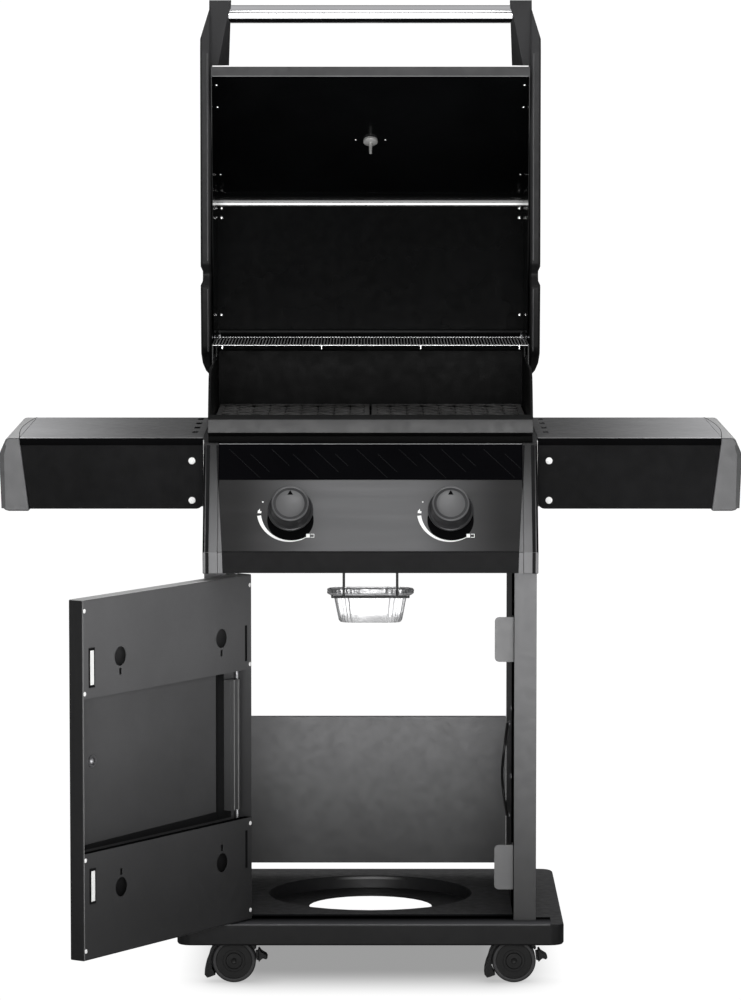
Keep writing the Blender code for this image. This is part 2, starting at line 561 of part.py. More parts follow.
for side, tag in ((-1, "left"), (1, "right")):
    ends = sorted((side * CASTING_IN, side * CASTING_OUT))
    cheek = finish(tag + "_lid_casting", prism(arm_side, "X", *ends), "cast_alu", HINGE, TIPPED)
    bevel(cheek, 0.0030, 1, 50)
    pocket = sorted((side * (CASTING_IN - 0.01), side * (CASTING_OUT - 0.0060)))
    cut(cheek, prism(hollow_side, "X", *pocket))
    for outline in MILLED:
        cut(cheek, prism([(side * a, b) for a, b in outline], "Z", -0.30, 0.40))
    wedge = bmesh.new()
    deep = side * (CASTING_IN + 0.0030)
    tip = [(side * ARM_TIP, WEDGE_TIP, -0.0600), (side * ARM_TIP, WEDGE_TIP, -0.0255),
           (deep, WEDGE_TIP, -0.0255), (deep, WEDGE_TIP, -0.0600)]
    root = [(side * ARM_ROOT, WEDGE_ROOT, -0.0800), (side * 0.2300, WEDGE_ROOT, -0.0350),
            (deep, WEDGE_ROOT, -0.0350), (deep, WEDGE_ROOT, -0.0800)]
    rings = [[wedge.verts.new(p) for p in line] for line in (tip, root)]
    wedge.faces.new(rings[0])
    wedge.faces.new(rings[1][::-1])
    for i in range(4):
        j = (i + 1) % 4
        wedge.faces.new((rings[0][i], rings[0][j], rings[1][j], rings[1][i]))
    bmesh.ops.triangulate(wedge, faces=wedge.faces)
    join(cheek, wedge)
    socket = sorted((side * 0.2200, side * (HANDLE_HALF + GAP)))
    cut(cheek, prism(circle(HANDLE_R + GAP, 24, HANDLE_Y, HANDLE_Z), "X", *socket))
    cut(cheek, prism(circle(0.0052, 16), "X", *sorted((side * 0.25, side * 0.30))))
    pin = revolve(((0, 0.2458), (0.0078, 0.2458), (0.0078, 0.2492), (0.0045, 0.2492), (0.0045, 0.2745),
                   (0, 0.2745)), 16)
    flip = Matrix.Rotation(side * math.pi / 2, 4, "Y")
    finish(tag + "_lid_pivot", move(pin, flip), "steel", HINGE)

grasp = move(prism(circle(HANDLE_R, 24), "Z", -HANDLE_HALF, HANDLE_HALF),
             along("X", (0, HANDLE_Y, HANDLE_Z)))
finish("lid_handle_bar", grasp, "chrome", HINGE, TIPPED)

# ---- folding side shelves: drawn from the fold axis ---------------------------------------
SLOT_Y = (-0.127, -0.037, 0.053, 0.143)
SLOT_X0, SLOT_X1, SLOT_HALF = 0.2726, 0.2812, 0.0210
for side, tag in ((-1, "left"), (1, "right")):
    axis = Vector((side * FOLD_X, 0, FOLD_Z))

    def local(points):
        return [(side * (a - FOLD_X), b - FOLD_Z) for a, b in points]

    apron = rounded(((SHELF_IN, SHELF_TOP - SHELF_SHEET - GAP, 0),
                     (SHELF_OUT, SHELF_TOP - SHELF_SHEET - GAP, 0),
                     (SHELF_FOOT, SHELF_LOW, 0), (SHELF_IN, SHELF_LOW, 0.0110)))
    finish(tag + "_shelf_fascia", prism(local(apron), "Y", SHELF_FRONT, SHELF_FRONT + SHELF_SHEET),
           "black_paint", axis)
    sheet_x = sorted((side * (SHELF_IN - FOLD_X), side * (SHELF_OUT - FOLD_X)))
    top_z = SHELF_TOP - FOLD_Z
    tray = finish(tag + "_shelf_top", block(*sheet_x, SHELF_FRONT, SHELF_BACK, top_z - SHELF_SHEET, top_z),
                  "black_paint", axis)
    back_wall = rounded(((SHELF_IN + 0.0002, SHELF_TOP - 0.0008, 0),
                         (SHELF_OUT - 0.0003, SHELF_TOP - 0.0008, 0),
                         (SHELF_FOOT, SHELF_LOW, 0), (SHELF_IN + 0.0002, SHELF_LOW, 0.0110)))
    join(tray, prism(local(back_wall), "Y", SHELF_BACK - SHELF_SHEET - 0.0002, SHELF_BACK - 0.0002))
    slots = bmesh.new()
    for y in SLOT_Y:
        x0, x1 = sorted((side * (SLOT_X0 - FOLD_X), side * (SLOT_X1 - FOLD_X)))
        block(x0, x1, y - SLOT_HALF, y + SLOT_HALF, top_z - 0.01, top_z + 0.01, slots)
    cut(tray, slots)

    end = rounded(((SHELF_OUT + GAP, SHELF_TOP, 0), (0.568, SHELF_TOP, 0.008), (0.580, 0.838, 0.012),
                   (0.576, 0.7500, 0.012), (SHELF_FOOT + GAP, 0.7500, 0)), 3)
    cap = finish(tag + "_shelf_end_cap", prism(local(end), "Y", SHELF_FRONT - 0.0015, SHELF_BACK + 0.0015),
                 "grey_paint", axis)
    bevel(cap, 0.0030, 2, 50)
    cavity = ((0.5200, 0.7530), (0.5715, 0.7530), (0.5765, 0.838), (0.5665, 0.8625), (0.5200, 0.8625))
    cut(cap, prism(local(cavity), "Y", SHELF_FRONT + 0.0020, SHELF_BACK - 0.0020))

    brace_line = ((0.2920, -0.2330), (0.2541, -0.2330), (0.2541, 0.1710), (0.2920, 0.1710))
    brace = folded([(side * a, b) for a, b in brace_line], -0.0015 * side)
    finish(tag + "_shelf_bracket", prism(brace, "Z", 0.7570, 0.8450), "grey_paint")

# ---- casters ------------------------------------------------------------------------------
half_wheel = ((0.0060, 0.0062), (0.0330, 0.0062), (WHEEL_R, 0.0080), (WHEEL_R, 0.0130), (0.0325, 0.0155),
              (0.0285, WHEEL_HALF), (0.0270, 0.0145), (0.0135, 0.0145), (0.0120, WHEEL_HALF),
              (0, WHEEL_HALF))
wheel_shape = tuple((r, -h) for r, h in half_wheel[::-1]) + half_wheel


def arc(r, start, stop, steps):
    out = []
    for k in range(steps + 1):
        angle = math.radians(start + (stop - start) * k / steps)
        out.append((TRAIL + r * math.cos(angle), WHEEL_R + r * math.sin(angle)))
    return out


for tag, x, y in (("front_left", -CASTER_X, CASTER_FRONT), ("front_right", CASTER_X, CASTER_FRONT),
                  ("rear_left", -CASTER_X, CASTER_BACK), ("rear_right", CASTER_X, CASTER_BACK)):
    spot = Vector((x, y, 0))
    flare = ((-0.0402, 0.0060), (-0.0437, -0.0030), (-0.0460, -0.0125), (-0.0466, -0.0215),
             (-0.0425, -0.0265),
             (-0.0390, -0.0258))
    tail = [(TRAIL + a, WHEEL_R + b) for a, b in flare]
    hood = arc(0.0405, 30, 160, 8) + tail + arc(0.0368, 217, 30, 11)
    fork = finish(tag + "_caster_fork", prism(hood, "Y", -0.0165, 0.0165), "black_plastic", spot)
    web = arc(0.0393, 66, 190, 6) + arc(0.0105, 225, 405, 8)
    join(fork, prism(web, "Y", -0.0055, 0.0055))
    cut(fork, prism([(TRAIL + a, WHEEL_R + b) for a, b in circle(0.0064, 20)], "Y", -0.02, 0.02))
    join(fork, prism(circle(0.0110, 16), "Z", 0.0725, 0.0950))
    join(fork, prism(circle(0.0200, 20), "Z", 0.0940, BASE_TOP - BASE_WALL - GAP))
    wheel = move(revolve(wheel_shape, 20), along("Y"))
    finish(tag + "_wheel", wheel, "rubber", spot + Vector((TRAIL, 0, WHEEL_R)))
    if tag.startswith("front"):
        lever = ((0.0375, 0.0175), (0.0400, 0.0185), (0.0430, 0.0138), (0.0512, 0.0088), (0.0534, 0.0045),
                 (0.0508, 0.0013), (0.0455, 0.0033), (0.0420, 0.0005), (0.0390, -0.0030), (0.0382, 0.0060))
        pivot = Vector((0.0385, 0.0150))
        outline = [(a - pivot.x, b - pivot.y) for a, b in lever]
        pedal = finish(tag + "_brake_pedal", prism(outline, "Y", -0.0115, 0.0115), "black_plastic",
                       spot + Vector((TRAIL + pivot.x, 0, WHEEL_R + pivot.y)))
        bevel(pedal, 0.0008, 1, 50)
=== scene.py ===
"""Looks of the gas barbecue grill: finishes, small hardware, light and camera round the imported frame."""

import math

import bmesh
import bpy
from mathutils import Matrix, Vector


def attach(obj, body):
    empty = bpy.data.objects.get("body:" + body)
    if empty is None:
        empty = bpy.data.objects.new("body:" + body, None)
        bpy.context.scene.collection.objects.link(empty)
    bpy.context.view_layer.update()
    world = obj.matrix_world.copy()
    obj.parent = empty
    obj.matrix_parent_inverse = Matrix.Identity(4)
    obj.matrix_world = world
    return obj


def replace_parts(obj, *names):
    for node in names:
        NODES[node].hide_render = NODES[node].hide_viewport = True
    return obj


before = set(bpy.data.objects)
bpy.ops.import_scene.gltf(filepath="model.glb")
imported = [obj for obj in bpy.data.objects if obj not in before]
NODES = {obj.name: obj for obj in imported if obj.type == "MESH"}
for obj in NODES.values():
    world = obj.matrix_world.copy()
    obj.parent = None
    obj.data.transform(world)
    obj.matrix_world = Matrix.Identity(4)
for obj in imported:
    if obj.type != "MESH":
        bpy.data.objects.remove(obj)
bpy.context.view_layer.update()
SIDES = (("left", -1), ("right", 1))

# ---- places that the pieces hang on ------------------------------------------------------
SHIFT = 0.08428    # the cart's own middle, where depths are counted from, lies this far behind the frame's
LIFT = 0.0001      # gap under a piece that lies on a face
PANEL_TILT = math.radians(26.5)
DOOR_SWING = math.radians(123.4)
KNOB_X, KNOB_Y, KNOB_Z = 0.124, -0.2953, 0.7546
BASE_TOP, SHELF_TOP, LEG_IN = 0.1005, 0.8655, 0.2255
SHELF_FRONT = -0.2351 + SHIFT

FLAT = Matrix.Identity(4)
# an outline in X and Z with its thickness toward the front, and one in Y and Z with its thickness along X
UPRIGHT = Matrix.Rotation(math.pi / 2, 4, "X")
PROFILE = Matrix(((0, 0, 1, 0), (1, 0, 0, 0), (0, 1, 0, 0), (0, 0, 0, 1)))
LID = Matrix.Translation((0, 0.190 + SHIFT, 0.996)) @ Matrix.Rotation(-math.pi / 2, 4, "X")
DOOR = Matrix.Translation((-0.210, -0.220 + SHIFT, 0)) @ Matrix.Rotation(-DOOR_SWING, 4, "Z")
DOOR_FACE = DOOR @ UPRIGHT
FACE = Matrix.Translation((0, KNOB_Y + SHIFT, KNOB_Z)) @ Matrix.Rotation(math.pi / 2 - PANEL_TILT, 4, "X")
FOOT = Matrix.Translation((0, -0.3257 + SHIFT, 0.6940)) @ Matrix.Rotation(math.radians(99.6), 4, "X")


# ---- finishes ----------------------------------------------------------------------------
def map_range(tree, value, span, result=(0, 1), smooth=False):
    """Map a value from a span to a result, held at both ends."""
    node = tree.nodes.new("ShaderNodeMapRange")
    if smooth:
        node.interpolation_type = "SMOOTHSTEP"
    for key, number in zip(("From Min", "From Max", "To Min", "To Max"), (*span, *result)):
        node.inputs[key].default_value = number
    tree.links.new(value, node.inputs["Value"])
    return node.outputs["Result"]


def compute(tree, kind, *terms):
    """A math node whose terms are numbers or sockets."""
    node = tree.nodes.new("ShaderNodeMath")
    node.operation = kind
    for socket, term in zip(node.inputs, terms):
        if isinstance(term, (int, float)):
            socket.default_value = term
        else:
            tree.links.new(term, socket)
    return node.outputs["Value"]


def noise(tree, vector, scale, detail):
    """Noise value at a vector."""
    node = tree.nodes.new("ShaderNodeTexNoise")
    node.inputs["Scale"].default_value = scale
    node.inputs["Detail"].default_value = detail
    tree.links.new(vector, node.inputs["Vector"])
    return node.outputs["Fac"]


def separate(tree, vector):
    """The X, Y and Z of a vector."""
    node = tree.nodes.new("ShaderNodeSeparateXYZ")
    tree.links.new(vector, node.inputs["Vector"])
    return node.outputs


def apply_painted_light(tree, colour, coords, painted_light):
    """Paint light or shade onto a colour by scaling it along an axis; painted_light is (axis, start, stop,
    first, last) in metres and factors.
    """
    axis, start, stop, first, last = painted_light
    distance = compute(tree, "ABSOLUTE", separate(tree, coords)[axis])
    level = map_range(tree, distance, (start, stop), (first, last), smooth=True)
    lit_colour = tree.nodes.new("ShaderNodeVectorMath")
    lit_colour.operation = "SCALE"
    tree.links.new(colour, lit_colour.inputs[0])
    tree.links.new(level, lit_colour.inputs["Scale"])
    return lit_colour.outputs["Vector"]


def finish(name, colour, rough, metal=0.0, grain=900.0, bump=0.12, mottle=0.12, shine=0.5, stretch=(1, 1, 1),
           painted_light=None):
    """A surface with slow colour variation, uneven gloss and a fine surface grain, and painted light or shade
    along an axis when painted_light is given.
    """
    mat = bpy.data.materials.new(name)
    mat.use_nodes = True
    tree = mat.node_tree
    make, link = tree.nodes.new, tree.links.new
    shader = tree.nodes["Principled BSDF"]
    shader.inputs["Metallic"].default_value = metal
    shader.inputs["Specular IOR Level"].default_value = shine
    coords = make("ShaderNodeTexCoord").outputs["Object"]
    place = make("ShaderNodeMapping")
    place.inputs["Scale"].default_value = stretch
    link(coords, place.inputs["Vector"])
    vector = place.outputs["Vector"]

    tint = make("ShaderNodeMix")
    tint.data_type = "RGBA"
    tint.inputs["A"].default_value = [c * (1 - mottle) for c in colour] + [1]
    tint.inputs["B"].default_value = [min(1, c * (1 + mottle)) for c in colour] + [1]
    slow, middle, fine = [noise(tree, vector, *kind) for kind in ((7.0, 4), (70.0, 5), (grain, 2))]
    link(map_range(tree, slow, (0.35, 0.65)), tint.inputs["Factor"])
    base = tint.outputs["Result"]
    link(apply_painted_light(tree, base, coords, painted_light) if painted_light else base, shader.inputs["Base Color"])

    uneven = (max(0.02, rough * 0.88), min(1.0, rough * 1.14))
    link(map_range(tree, middle, (0.3, 0.7), uneven), shader.inputs["Roughness"])
    relief = make("ShaderNodeBump")
    relief.inputs["Strength"].default_value = bump
    relief.inputs["Distance"].default_value = 0.0004
    link(fine, relief.inputs["Height"])
    link(relief.outputs["Normal"], shader.inputs["Normal"])
    return mat


# name, colour, roughness, metal, grain, bump, mottle, shine
BLACK_PAINT = finish("black_powder_coat", (0.016, 0.016, 0.017), 0.45, 0.0, 1400, 0.30, 0.10, 0.5)
# black for the knob pointer, cap seam and rolled edge, and painted shade under knobs, on bezel edges and in
# the cabinet
BLACK_MARKS_AND_PAINTED_SHADE = finish("black_marks_and_painted_shade", (0.0028, 0.0028, 0.0030), 0.85, 0.0, 1400, 0.30, 0.10, 0.0)
# painted shade for faces turned from the lamps: base sides, inner walls, the door's free edge, hinge side and
# sill
PAINTED_SHADE_BLACK = finish("painted_shade_black_coat", (0.0046, 0.0046, 0.0049), 0.45, 0.0, 1400, 0.30, 0.10, 0.2)
GRAIN_PAINT = finish("grained_black_paint", (0.0042, 0.0042, 0.0045), 0.55, 0.0, 1100, 0.9, 0.30, 0.08)
ENAMEL = finish("black_enamel", (0.0026, 0.0028, 0.0030), 0.16, 0.0, 220, 0.02, 0.20, 0.10)
FOLD_GLOSS = finish("enamel_on_the_fold", (0.0026, 0.0028, 0.0030), 0.12, 0.0, 220, 0.01, 0.10)
FOLD_GLOSS.node_tree.nodes["Principled BSDF"].inputs["IOR"].default_value = 2.15
# lighter copy of the lid enamel: painted sheen on the lip's flange where the ledge catches light
LIP_PAINTED_SHEEN = finish("lip_flange_painted_sheen", (0.020, 0.020, 0.021), 0.40, 0.0, 900, 0.10, 0.08, 0.3)
GREY_PAINT = finish("grey_powder_coat", (0.074, 0.074, 0.076), 0.40, 0.25, 1500, 0.20, 0.06)
# painted shade: the side panels darken towards the bottom
COLUMN_PAINT = finish("column_powder_coat", (0.085, 0.085, 0.087), 0.42, 0.25, 1500, 0.20, 0.05,
                      painted_light=("Z", 0.10, 0.62, 0.24, 1.40))
# painted shade: the rear panel darkens towards the bottom
REAR_PAINT = finish("rear_powder_coat", (0.110, 0.110, 0.112), 0.42, 0.25, 1500, 0.20, 0.05,
                    painted_light=("Z", 0.12, 0.36, 0.45, 1.45))
# painted light: the catch plates and the panel's top edge line are lighter towards the top
CATCH_PAINT = finish("catch_powder_coat", (0.150, 0.150, 0.152), 0.42, 0.25, 1500, 0.20, 0.05,
                     painted_light=("Z", 0.14, 0.56, 0.80, 1.10))
# painted shade: the door darkens towards the bottom
DOOR_PAINT = finish("door_powder_coat", (0.098, 0.098, 0.100), 0.42, 0.30, 1500, 0.22, 0.06,
                    painted_light=("Z", 0.10, 0.66, 0.32, 1.35))
# painted light: the shelf tops are lighter towards their outer ends
SHELF_PAINT = finish("shelf_top_coat", (0.120, 0.120, 0.122), 0.42, 0.0, 1400, 0.25, 0.06,
                     painted_light=("X", 0.30, 0.66, 0.43, 3.75))
# painted light on upward faces: tops of the end caps and the door's top edge
TOPS_PAINTED_LIGHT = finish("painted_light_on_tops", (0.40, 0.40, 0.40), 0.42, 0.0, 1400, 0.25, 0.06)
# painted light: the lid castings grow lighter towards the top
CASTING = finish("painted_casting", (0.0080, 0.0080, 0.0083), 0.46, 0.10, 700, 0.40, 0.10, 0.20,
                 painted_light=("Z", 1.00, 1.56, 0.55, 3.20))
BOX_BLACK = finish("firebox_black", (0.0036, 0.0037, 0.0037), 0.50, 0.0, 500, 0.5, 0.20, 0.10)
BOX_LIP = finish("firebox_lip", (0.018, 0.018, 0.0185), 0.40, 0.0, 700, 0.3, 0.10, 0.4)
# painted light: the bezels are lighter low down and darker towards the top
BEZEL = finish("satin_bezel", (0.100, 0.100, 0.102), 0.38, 0.35, 1500, 0.15, 0.06,
               painted_light=("Z", 0.68, 0.86, 1.35, 0.12))
# painted highlight: the panel face is lighter in the middle and dark towards its ends
PANEL = finish("satin_panel", (0.076, 0.076, 0.078), 0.34, 0.40, 260, 0.06, 0.05, stretch=(0.06, 1, 1),
               painted_light=("X", 0.060, 0.215, 1.12, 0.06))
BLACK_BAND = finish("black_gloss_band", (0.0020, 0.0020, 0.0024), 0.30, 0.0, 400, 0.02, 0.15, 0.0)
HATCH = finish("band_hatching", (0.010, 0.010, 0.011), 0.40, 0.0, 900, 0.1, 0.20, 0.1)
LOW_BAND = finish("black_satin_band", (0.0052, 0.0052, 0.0055), 0.45, 0.0, 1400, 0.2, 0.10, 0.10)
CAST_IRON = finish("seasoned_cast_iron", (0.064, 0.063, 0.062), 0.50, 0.10, 420, 0.9, 0.30, 0.4)
CHROME = finish("polished_chrome", (0.86, 0.86, 0.87), 0.09, 1.0, 300, 0.01, 0.03)
WIRE = finish("nickel_wire", (0.60, 0.60, 0.60), 0.22, 1.0, 500, 0.10, 0.12)
RACK_WIRE = finish("rack_cross_wire", (0.085, 0.085, 0.085), 0.55, 0.0, 500, 0.20, 0.15, 0.2)
DARK_WIRE = finish("blackened_wire", (0.030, 0.030, 0.030), 0.40, 0.3, 500, 0.20, 0.15)
STEEL = finish("brushed_steel", (0.36, 0.36, 0.37), 0.34, 1.0, 700, 0.25, 0.10, stretch=(1, 0.04, 1))
PAN_STEEL = finish("galvanised_sheet", (0.30, 0.30, 0.31), 0.45, 1.0, 90, 0.10, 0.20)
BRASS = finish("turned_brass", (0.52, 0.38, 0.14), 0.32, 1.0, 600, 0.15, 0.12)
FOIL = finish("crumpled_foil", (0.93, 0.93, 0.94), 0.25, 0.45, 170, 0.60, 0.04)
PLASTIC = finish("moulded_black_nylon", (0.005, 0.005, 0.0055), 0.42, 0.0, 1100, 0.30, 0.10, 0.25)
KNOB_SKIN = finish("knob_soft_black", (0.011, 0.011, 0.012), 0.36, 0.0, 1300, 0.15, 0.08)
KNOB_FACE = finish("knob_satin_face", (0.110, 0.110, 0.112), 0.33, 0.60, 500, 0.06, 0.05)
RUBBER = finish("caster_tread", (0.046, 0.046, 0.047), 0.55, 0.0, 800, 0.40, 0.12, 0.3)
HUB = finish("caster_hub", (0.011, 0.011, 0.011), 0.40, 0.0, 900, 0.20, 0.08, 0.2)
PRINT = finish("printed_white", (0.80, 0.80, 0.79), 0.50, 0.0, 1500, 0.05, 0.05)
ZINC = finish("dull_zinc", (0.50, 0.50, 0.49), 0.38, 0.45, 600, 0.10, 0.06)
RIM_VALLEY = finish("base_tray_shade", (0.018, 0.018, 0.019), 0.90, 0.0, 1400, 0.30, 0.05, 0.0,
                    painted_light=("Y", 0.083, 0.106, 1.20, 0.02))
# painted highlight brightening towards the rounded front edge of the base's rim
RIM_PAINTED_HIGHLIGHT = finish("base_rim_painted_highlight", (0.018, 0.018, 0.019), 0.90, 0.0, 1400, 0.30, 0.05, 0.0,
                  painted_light=("Y", 0.114, 0.180, 0.02, 4.60))
GLINT = finish("recess_edge_sheen", (0.30, 0.30, 0.30), 0.50, 0.0, 1400, 0.30, 0.05, 0.2,
               painted_light=("X", 0.010, 0.062, 1.0, 0.08))
# painted highlight on edges: the lid's lip, the door's free edge and the folds of its hinge channel
EDGE_PAINTED_HIGHLIGHT = finish("painted_edge_highlight", (0.20, 0.20, 0.20), 0.45, 0.0, 900, 0.15, 0.06)
BRIGHT = finish("plated_screw", (0.85, 0.85, 0.85), 0.20, 1.0, 600, 0.05, 0.05)

LOOKS = {
    "base_shelf": BLACK_PAINT, "rear_panel": REAR_PAINT, "door_hinge_rod": STEEL,
    "upper_catch_plate": CATCH_PAINT, "lower_catch_plate": CATCH_PAINT, "door_shell": DOOR_PAINT,
    "door_upper_plate": DOOR_PAINT, "door_lower_plate": DOOR_PAINT, "door_handle": STEEL,
    "control_panel": PANEL, "manifold": STEEL, "firebox": BOX_BLACK, "grease_pan": PAN_STEEL,
    "lid_shell": ENAMEL, "lid_handle_bar": CHROME, "thermometer": CHROME, "cup_hanger": WIRE,
}
for tag, _ in SIDES:
    LOOKS.update({
        tag + "_side_panel": COLUMN_PAINT, tag + "_end_bezel": BEZEL, tag + "_valve_body": BRASS,
        tag + "_valve_plunger": STEEL, tag + "_valve_stem": STEEL, tag + "_sear_plate": PAN_STEEL,
        tag + "_burner": STEEL, tag + "_lid_casting": CASTING, tag + "_lid_pivot": STEEL,
        tag + "_shelf_top": SHELF_PAINT, tag + "_shelf_fascia": GRAIN_PAINT,
        tag + "_shelf_end_cap": GREY_PAINT, tag + "_shelf_bracket": GREY_PAINT,
        "front_%s_brake_pedal" % tag: PLASTIC,
    })
    for end in ("front", "rear"):
        LOOKS["%s_%s_caster_fork" % (end, tag)] = PLASTIC
        LOOKS["%s_%s_wheel" % (end, tag)] = RUBBER

SHEET_EDGE, CAST_EDGE, FINE_EDGE = 0.0004, 0.0012, 0.0002
EDGES = {"base_shelf": CAST_EDGE, "firebox": CAST_EDGE, "lid_handle_bar": 0.0008, "door_shell": FINE_EDGE,
         "door_handle": FINE_EDGE}
for tag, _ in SIDES:
    EDGES[tag + "_lid_casting"] = 0.0010
    EDGES[tag + "_end_bezel"] = EDGES[tag + "_shelf_end_cap"] = FINE_EDGE


def soften(thing, width):
    """Weld the imported faces, round their sharp edges and keep the flat faces flat."""
    thing.data.polygons.foreach_set("use_smooth", [True] * len(thing.data.polygons))
    weld = thing.modifiers.new("weld", "WELD")
    weld.merge_threshold = 0.00001
    flat = thing.modifiers.new("flat", "DECIMATE")
    flat.decimate_type = "DISSOLVE"
    flat.angle_limit = math.radians(0.5)
    edge = thing.modifiers.new("edge", "BEVEL")
    edge.width = width
    edge.segments = 2
    edge.limit_method = "ANGLE"
    edge.angle_limit = math.radians(33)
    even = thing.modifiers.new("even", "WEIGHTED_NORMAL")
    even.mode = "FACE_AREA"
    even.weight = 100


for name, node in NODES.items():
    node.data.materials.clear()
    node.data.materials.append(LOOKS.get(name, BLACK_PAINT))
    soften(node, EDGES.get(name, SHEET_EDGE))


def second_coat(name, mat, chosen):
    """Give the faces of a node for which chosen(normal, centre) holds another finish."""
    data = NODES[name].data
    data.materials.append(mat)
    index = len(data.materials) - 1
    for face in data.polygons:
        if chosen(face.normal, face.center):
            face.material_index = index


FREE_EDGE = DOOR.to_3x3() @ Vector((1, 0, 0))
second_coat("firebox", BOX_LIP, lambda n, c: n.y < -0.5 and c.y < -0.22 + SHIFT and c.z > 0.860)
LIP_FOOT, FOLD_LOW, FOLD_HIGH = 1.42, 1.192, 1.252
# painted sheen on the lid's lip flange
second_coat("lid_shell", LIP_PAINTED_SHEEN, lambda n, c: n.y < -0.9 and c.z > LIP_FOOT)
second_coat("lid_shell", LOW_BAND, lambda n, c: n.z > 0.5 and c.z > LIP_FOOT)
second_coat("lid_shell", FOLD_GLOSS,
            lambda n, c: FOLD_LOW < c.z < FOLD_HIGH and c.y > 0.375 + SHIFT and n.y < -0.5)
# painted shade on the base's front and side faces
second_coat("base_shelf", PAINTED_SHADE_BLACK, lambda n, c: n.z < 0.5 and c.y < -0.1)
# painted shade on the door's free edge
second_coat("door_shell", PAINTED_SHADE_BLACK, lambda n, c: n.dot(FREE_EDGE) > 0.9 and c.y < -0.30)
# painted shade on the right panel's inner faces
second_coat("right_side_panel", PAINTED_SHADE_BLACK, lambda n, c: n.x < -0.9)
# painted shade on the top of the door's lower flange
second_coat("door_lower_plate", BLACK_MARKS_AND_PAINTED_SHADE, lambda n, c: n.z > 0.7 and c.z > 0.25)
# painted highlight on the door's top edge
second_coat("door_shell", TOPS_PAINTED_LIGHT, lambda n, c: n.z > 0.9 and c.z > 0.60)
# painted shade on the left panel's inner faces
second_coat("left_side_panel", PAINTED_SHADE_BLACK, lambda n, c: n.x > 0.9)
# painted light on the tops of the end caps
for tag, _ in SIDES:
    second_coat(tag + "_shelf_end_cap", TOPS_PAINTED_LIGHT, lambda n, c: n.z > 0.7 and c.z > 0.84)


# ---- mesh helpers ------------------------------------------------------------------------
def thing_of(name, bm, mat, body, smooth=True):
    """A finished piece that moves with a body."""
    bmesh.ops.recalc_face_normals(bm, faces=bm.faces)
    mesh = bpy.data.meshes.new(name)
    bm.to_mesh(mesh)
    bm.free()
    if smooth:
        mesh.polygons.foreach_set("use_smooth", [True] * len(mesh.polygons))
        mesh.set_sharp_from_angle(angle=math.radians(38))
    thing = bpy.data.objects.new(name, mesh)
    bpy.context.scene.collection.objects.link(thing)
    for entry in mat if isinstance(mat, (list, tuple)) else (mat,):
        mesh.materials.append(entry)
    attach(thing, body)
    return thing


def revolve(bm, profile, matrix, count=24, index=0):
    """Add a profile of (radius, height) turned about Z, placed by a matrix."""
    rings = []
    for r, h in profile:
        if r == 0:
            rings.append([bm.verts.new(matrix @ Vector((0, 0, h)))])
        else:
            rings.append([bm.verts.new(matrix @ Vector((r * math.cos(2 * math.pi * i / count),
                                                        r * math.sin(2 * math.pi * i / count), h)))
                          for i in range(count)])
    pairs = list(zip(rings, rings[1:]))
    if len(rings[0]) > 1:
        pairs.append((rings[-1], rings[0]))
    for here, there in pairs:
        for i in range(count):
            j = (i + 1) % count
            if len(here) == 1:
                quad = (here[0], there[i], there[j])
            elif len(there) == 1:
                quad = (here[i], here[j], there[0])
            else:
                quad = (here[i], here[j], there[j], there[i])
            bm.faces.new(quad).material_index = index


def slab(bm, outline, low, high, matrix, index=0):
    """Add an outline in the matrix's XY plane, from low to high along its Z."""
    first = [bm.verts.new(matrix @ Vector((a, b, low))) for a, b in outline]
    second = [bm.verts.new(matrix @ Vector((a, b, high))) for a, b in outline]
    faces = [bm.faces.new(first[::-1]), bm.faces.new(second)]
    for i in range(len(outline)):
        j = (i + 1) % len(outline)
        faces.append(bm.faces.new((first[i], first[j], second[j], second[i])))
    for face in faces:
        face.material_index = index


def rectangle(x0, x1, y0, y1):
    """Outline of a rectangle."""
    return ((x0, y0), (x1, y0), (x1, y1), (x0, y1))


def facing(axis):
    """Matrix that turns Z to face along an axis."""
    return Vector((0, 0, 1)).rotation_difference(Vector(axis).normalized()).to_matrix().to_4x4()


def dome(r, h):
    """Profile of a rounded screw or rivet head standing on its plane."""
    return ((0, h), (r * 0.45, h * 0.93), (r * 0.8, h * 0.62), (r, h * 0.15), (r, -0.0001), (0, -0.0001))


def heads(name, spots, mat, body, r=0.003, h=0.0014):
    """A group of domed heads; each spot is (point, normal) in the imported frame."""
    bm = bmesh.new()
    for point, normal in spots:
        revolve(bm, dome(r, h), Matrix.Translation(point) @ facing(normal), 16)
    return thing_of(name, bm, mat, body)


def plates(name, parts, mat, body):
    """A flat-faced piece; each part is (outline, low, high, matrix)."""
    bm = bmesh.new()
    for part in parts:
        slab(bm, *part)
    return thing_of(name, bm, mat, body, smooth=False)


def mirrored(side, outline):
    """The outline on the right side (1), or its mirror image on the left (-1)."""
    return [(side * a, b) for a, b in outline]


def tube(name, runs, radius, mat, body, sides=3, cyclic=False):
    """Round wire along one or more lines of points."""
    curve = bpy.data.curves.new(name, "CURVE")
    curve.dimensions = "3D"
    curve.bevel_depth = radius
    curve.bevel_resolution = sides
    curve.use_fill_caps = True
    for run in runs:
        spline = curve.splines.new("POLY")
        spline.points.add(len(run) - 1)
        for point, spot in zip(spline.points, run):
            point.co = (*spot, 1)
        spline.use_cyclic_u = cyclic
    source = bpy.data.objects.new(name + "_line", curve)
    bpy.context.scene.collection.objects.link(source)
    bpy.context.view_layer.update()
    mesh = bpy.data.meshes.new_from_object(source.evaluated_get(bpy.context.evaluated_depsgraph_get()))
    bpy.data.objects.remove(source)
    bpy.data.curves.remove(curve)
    mesh.name = name
    mesh.materials.clear()
    mesh.materials.append(mat)
    mesh.polygons.foreach_set("use_smooth", [True] * len(mesh.polygons))
    mesh.set_sharp_from_angle(angle=math.radians(50))
    thing = bpy.data.objects.new(name, mesh)
    bpy.context.scene.collection.objects.link(thing)
    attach(thing, body)
    return thing


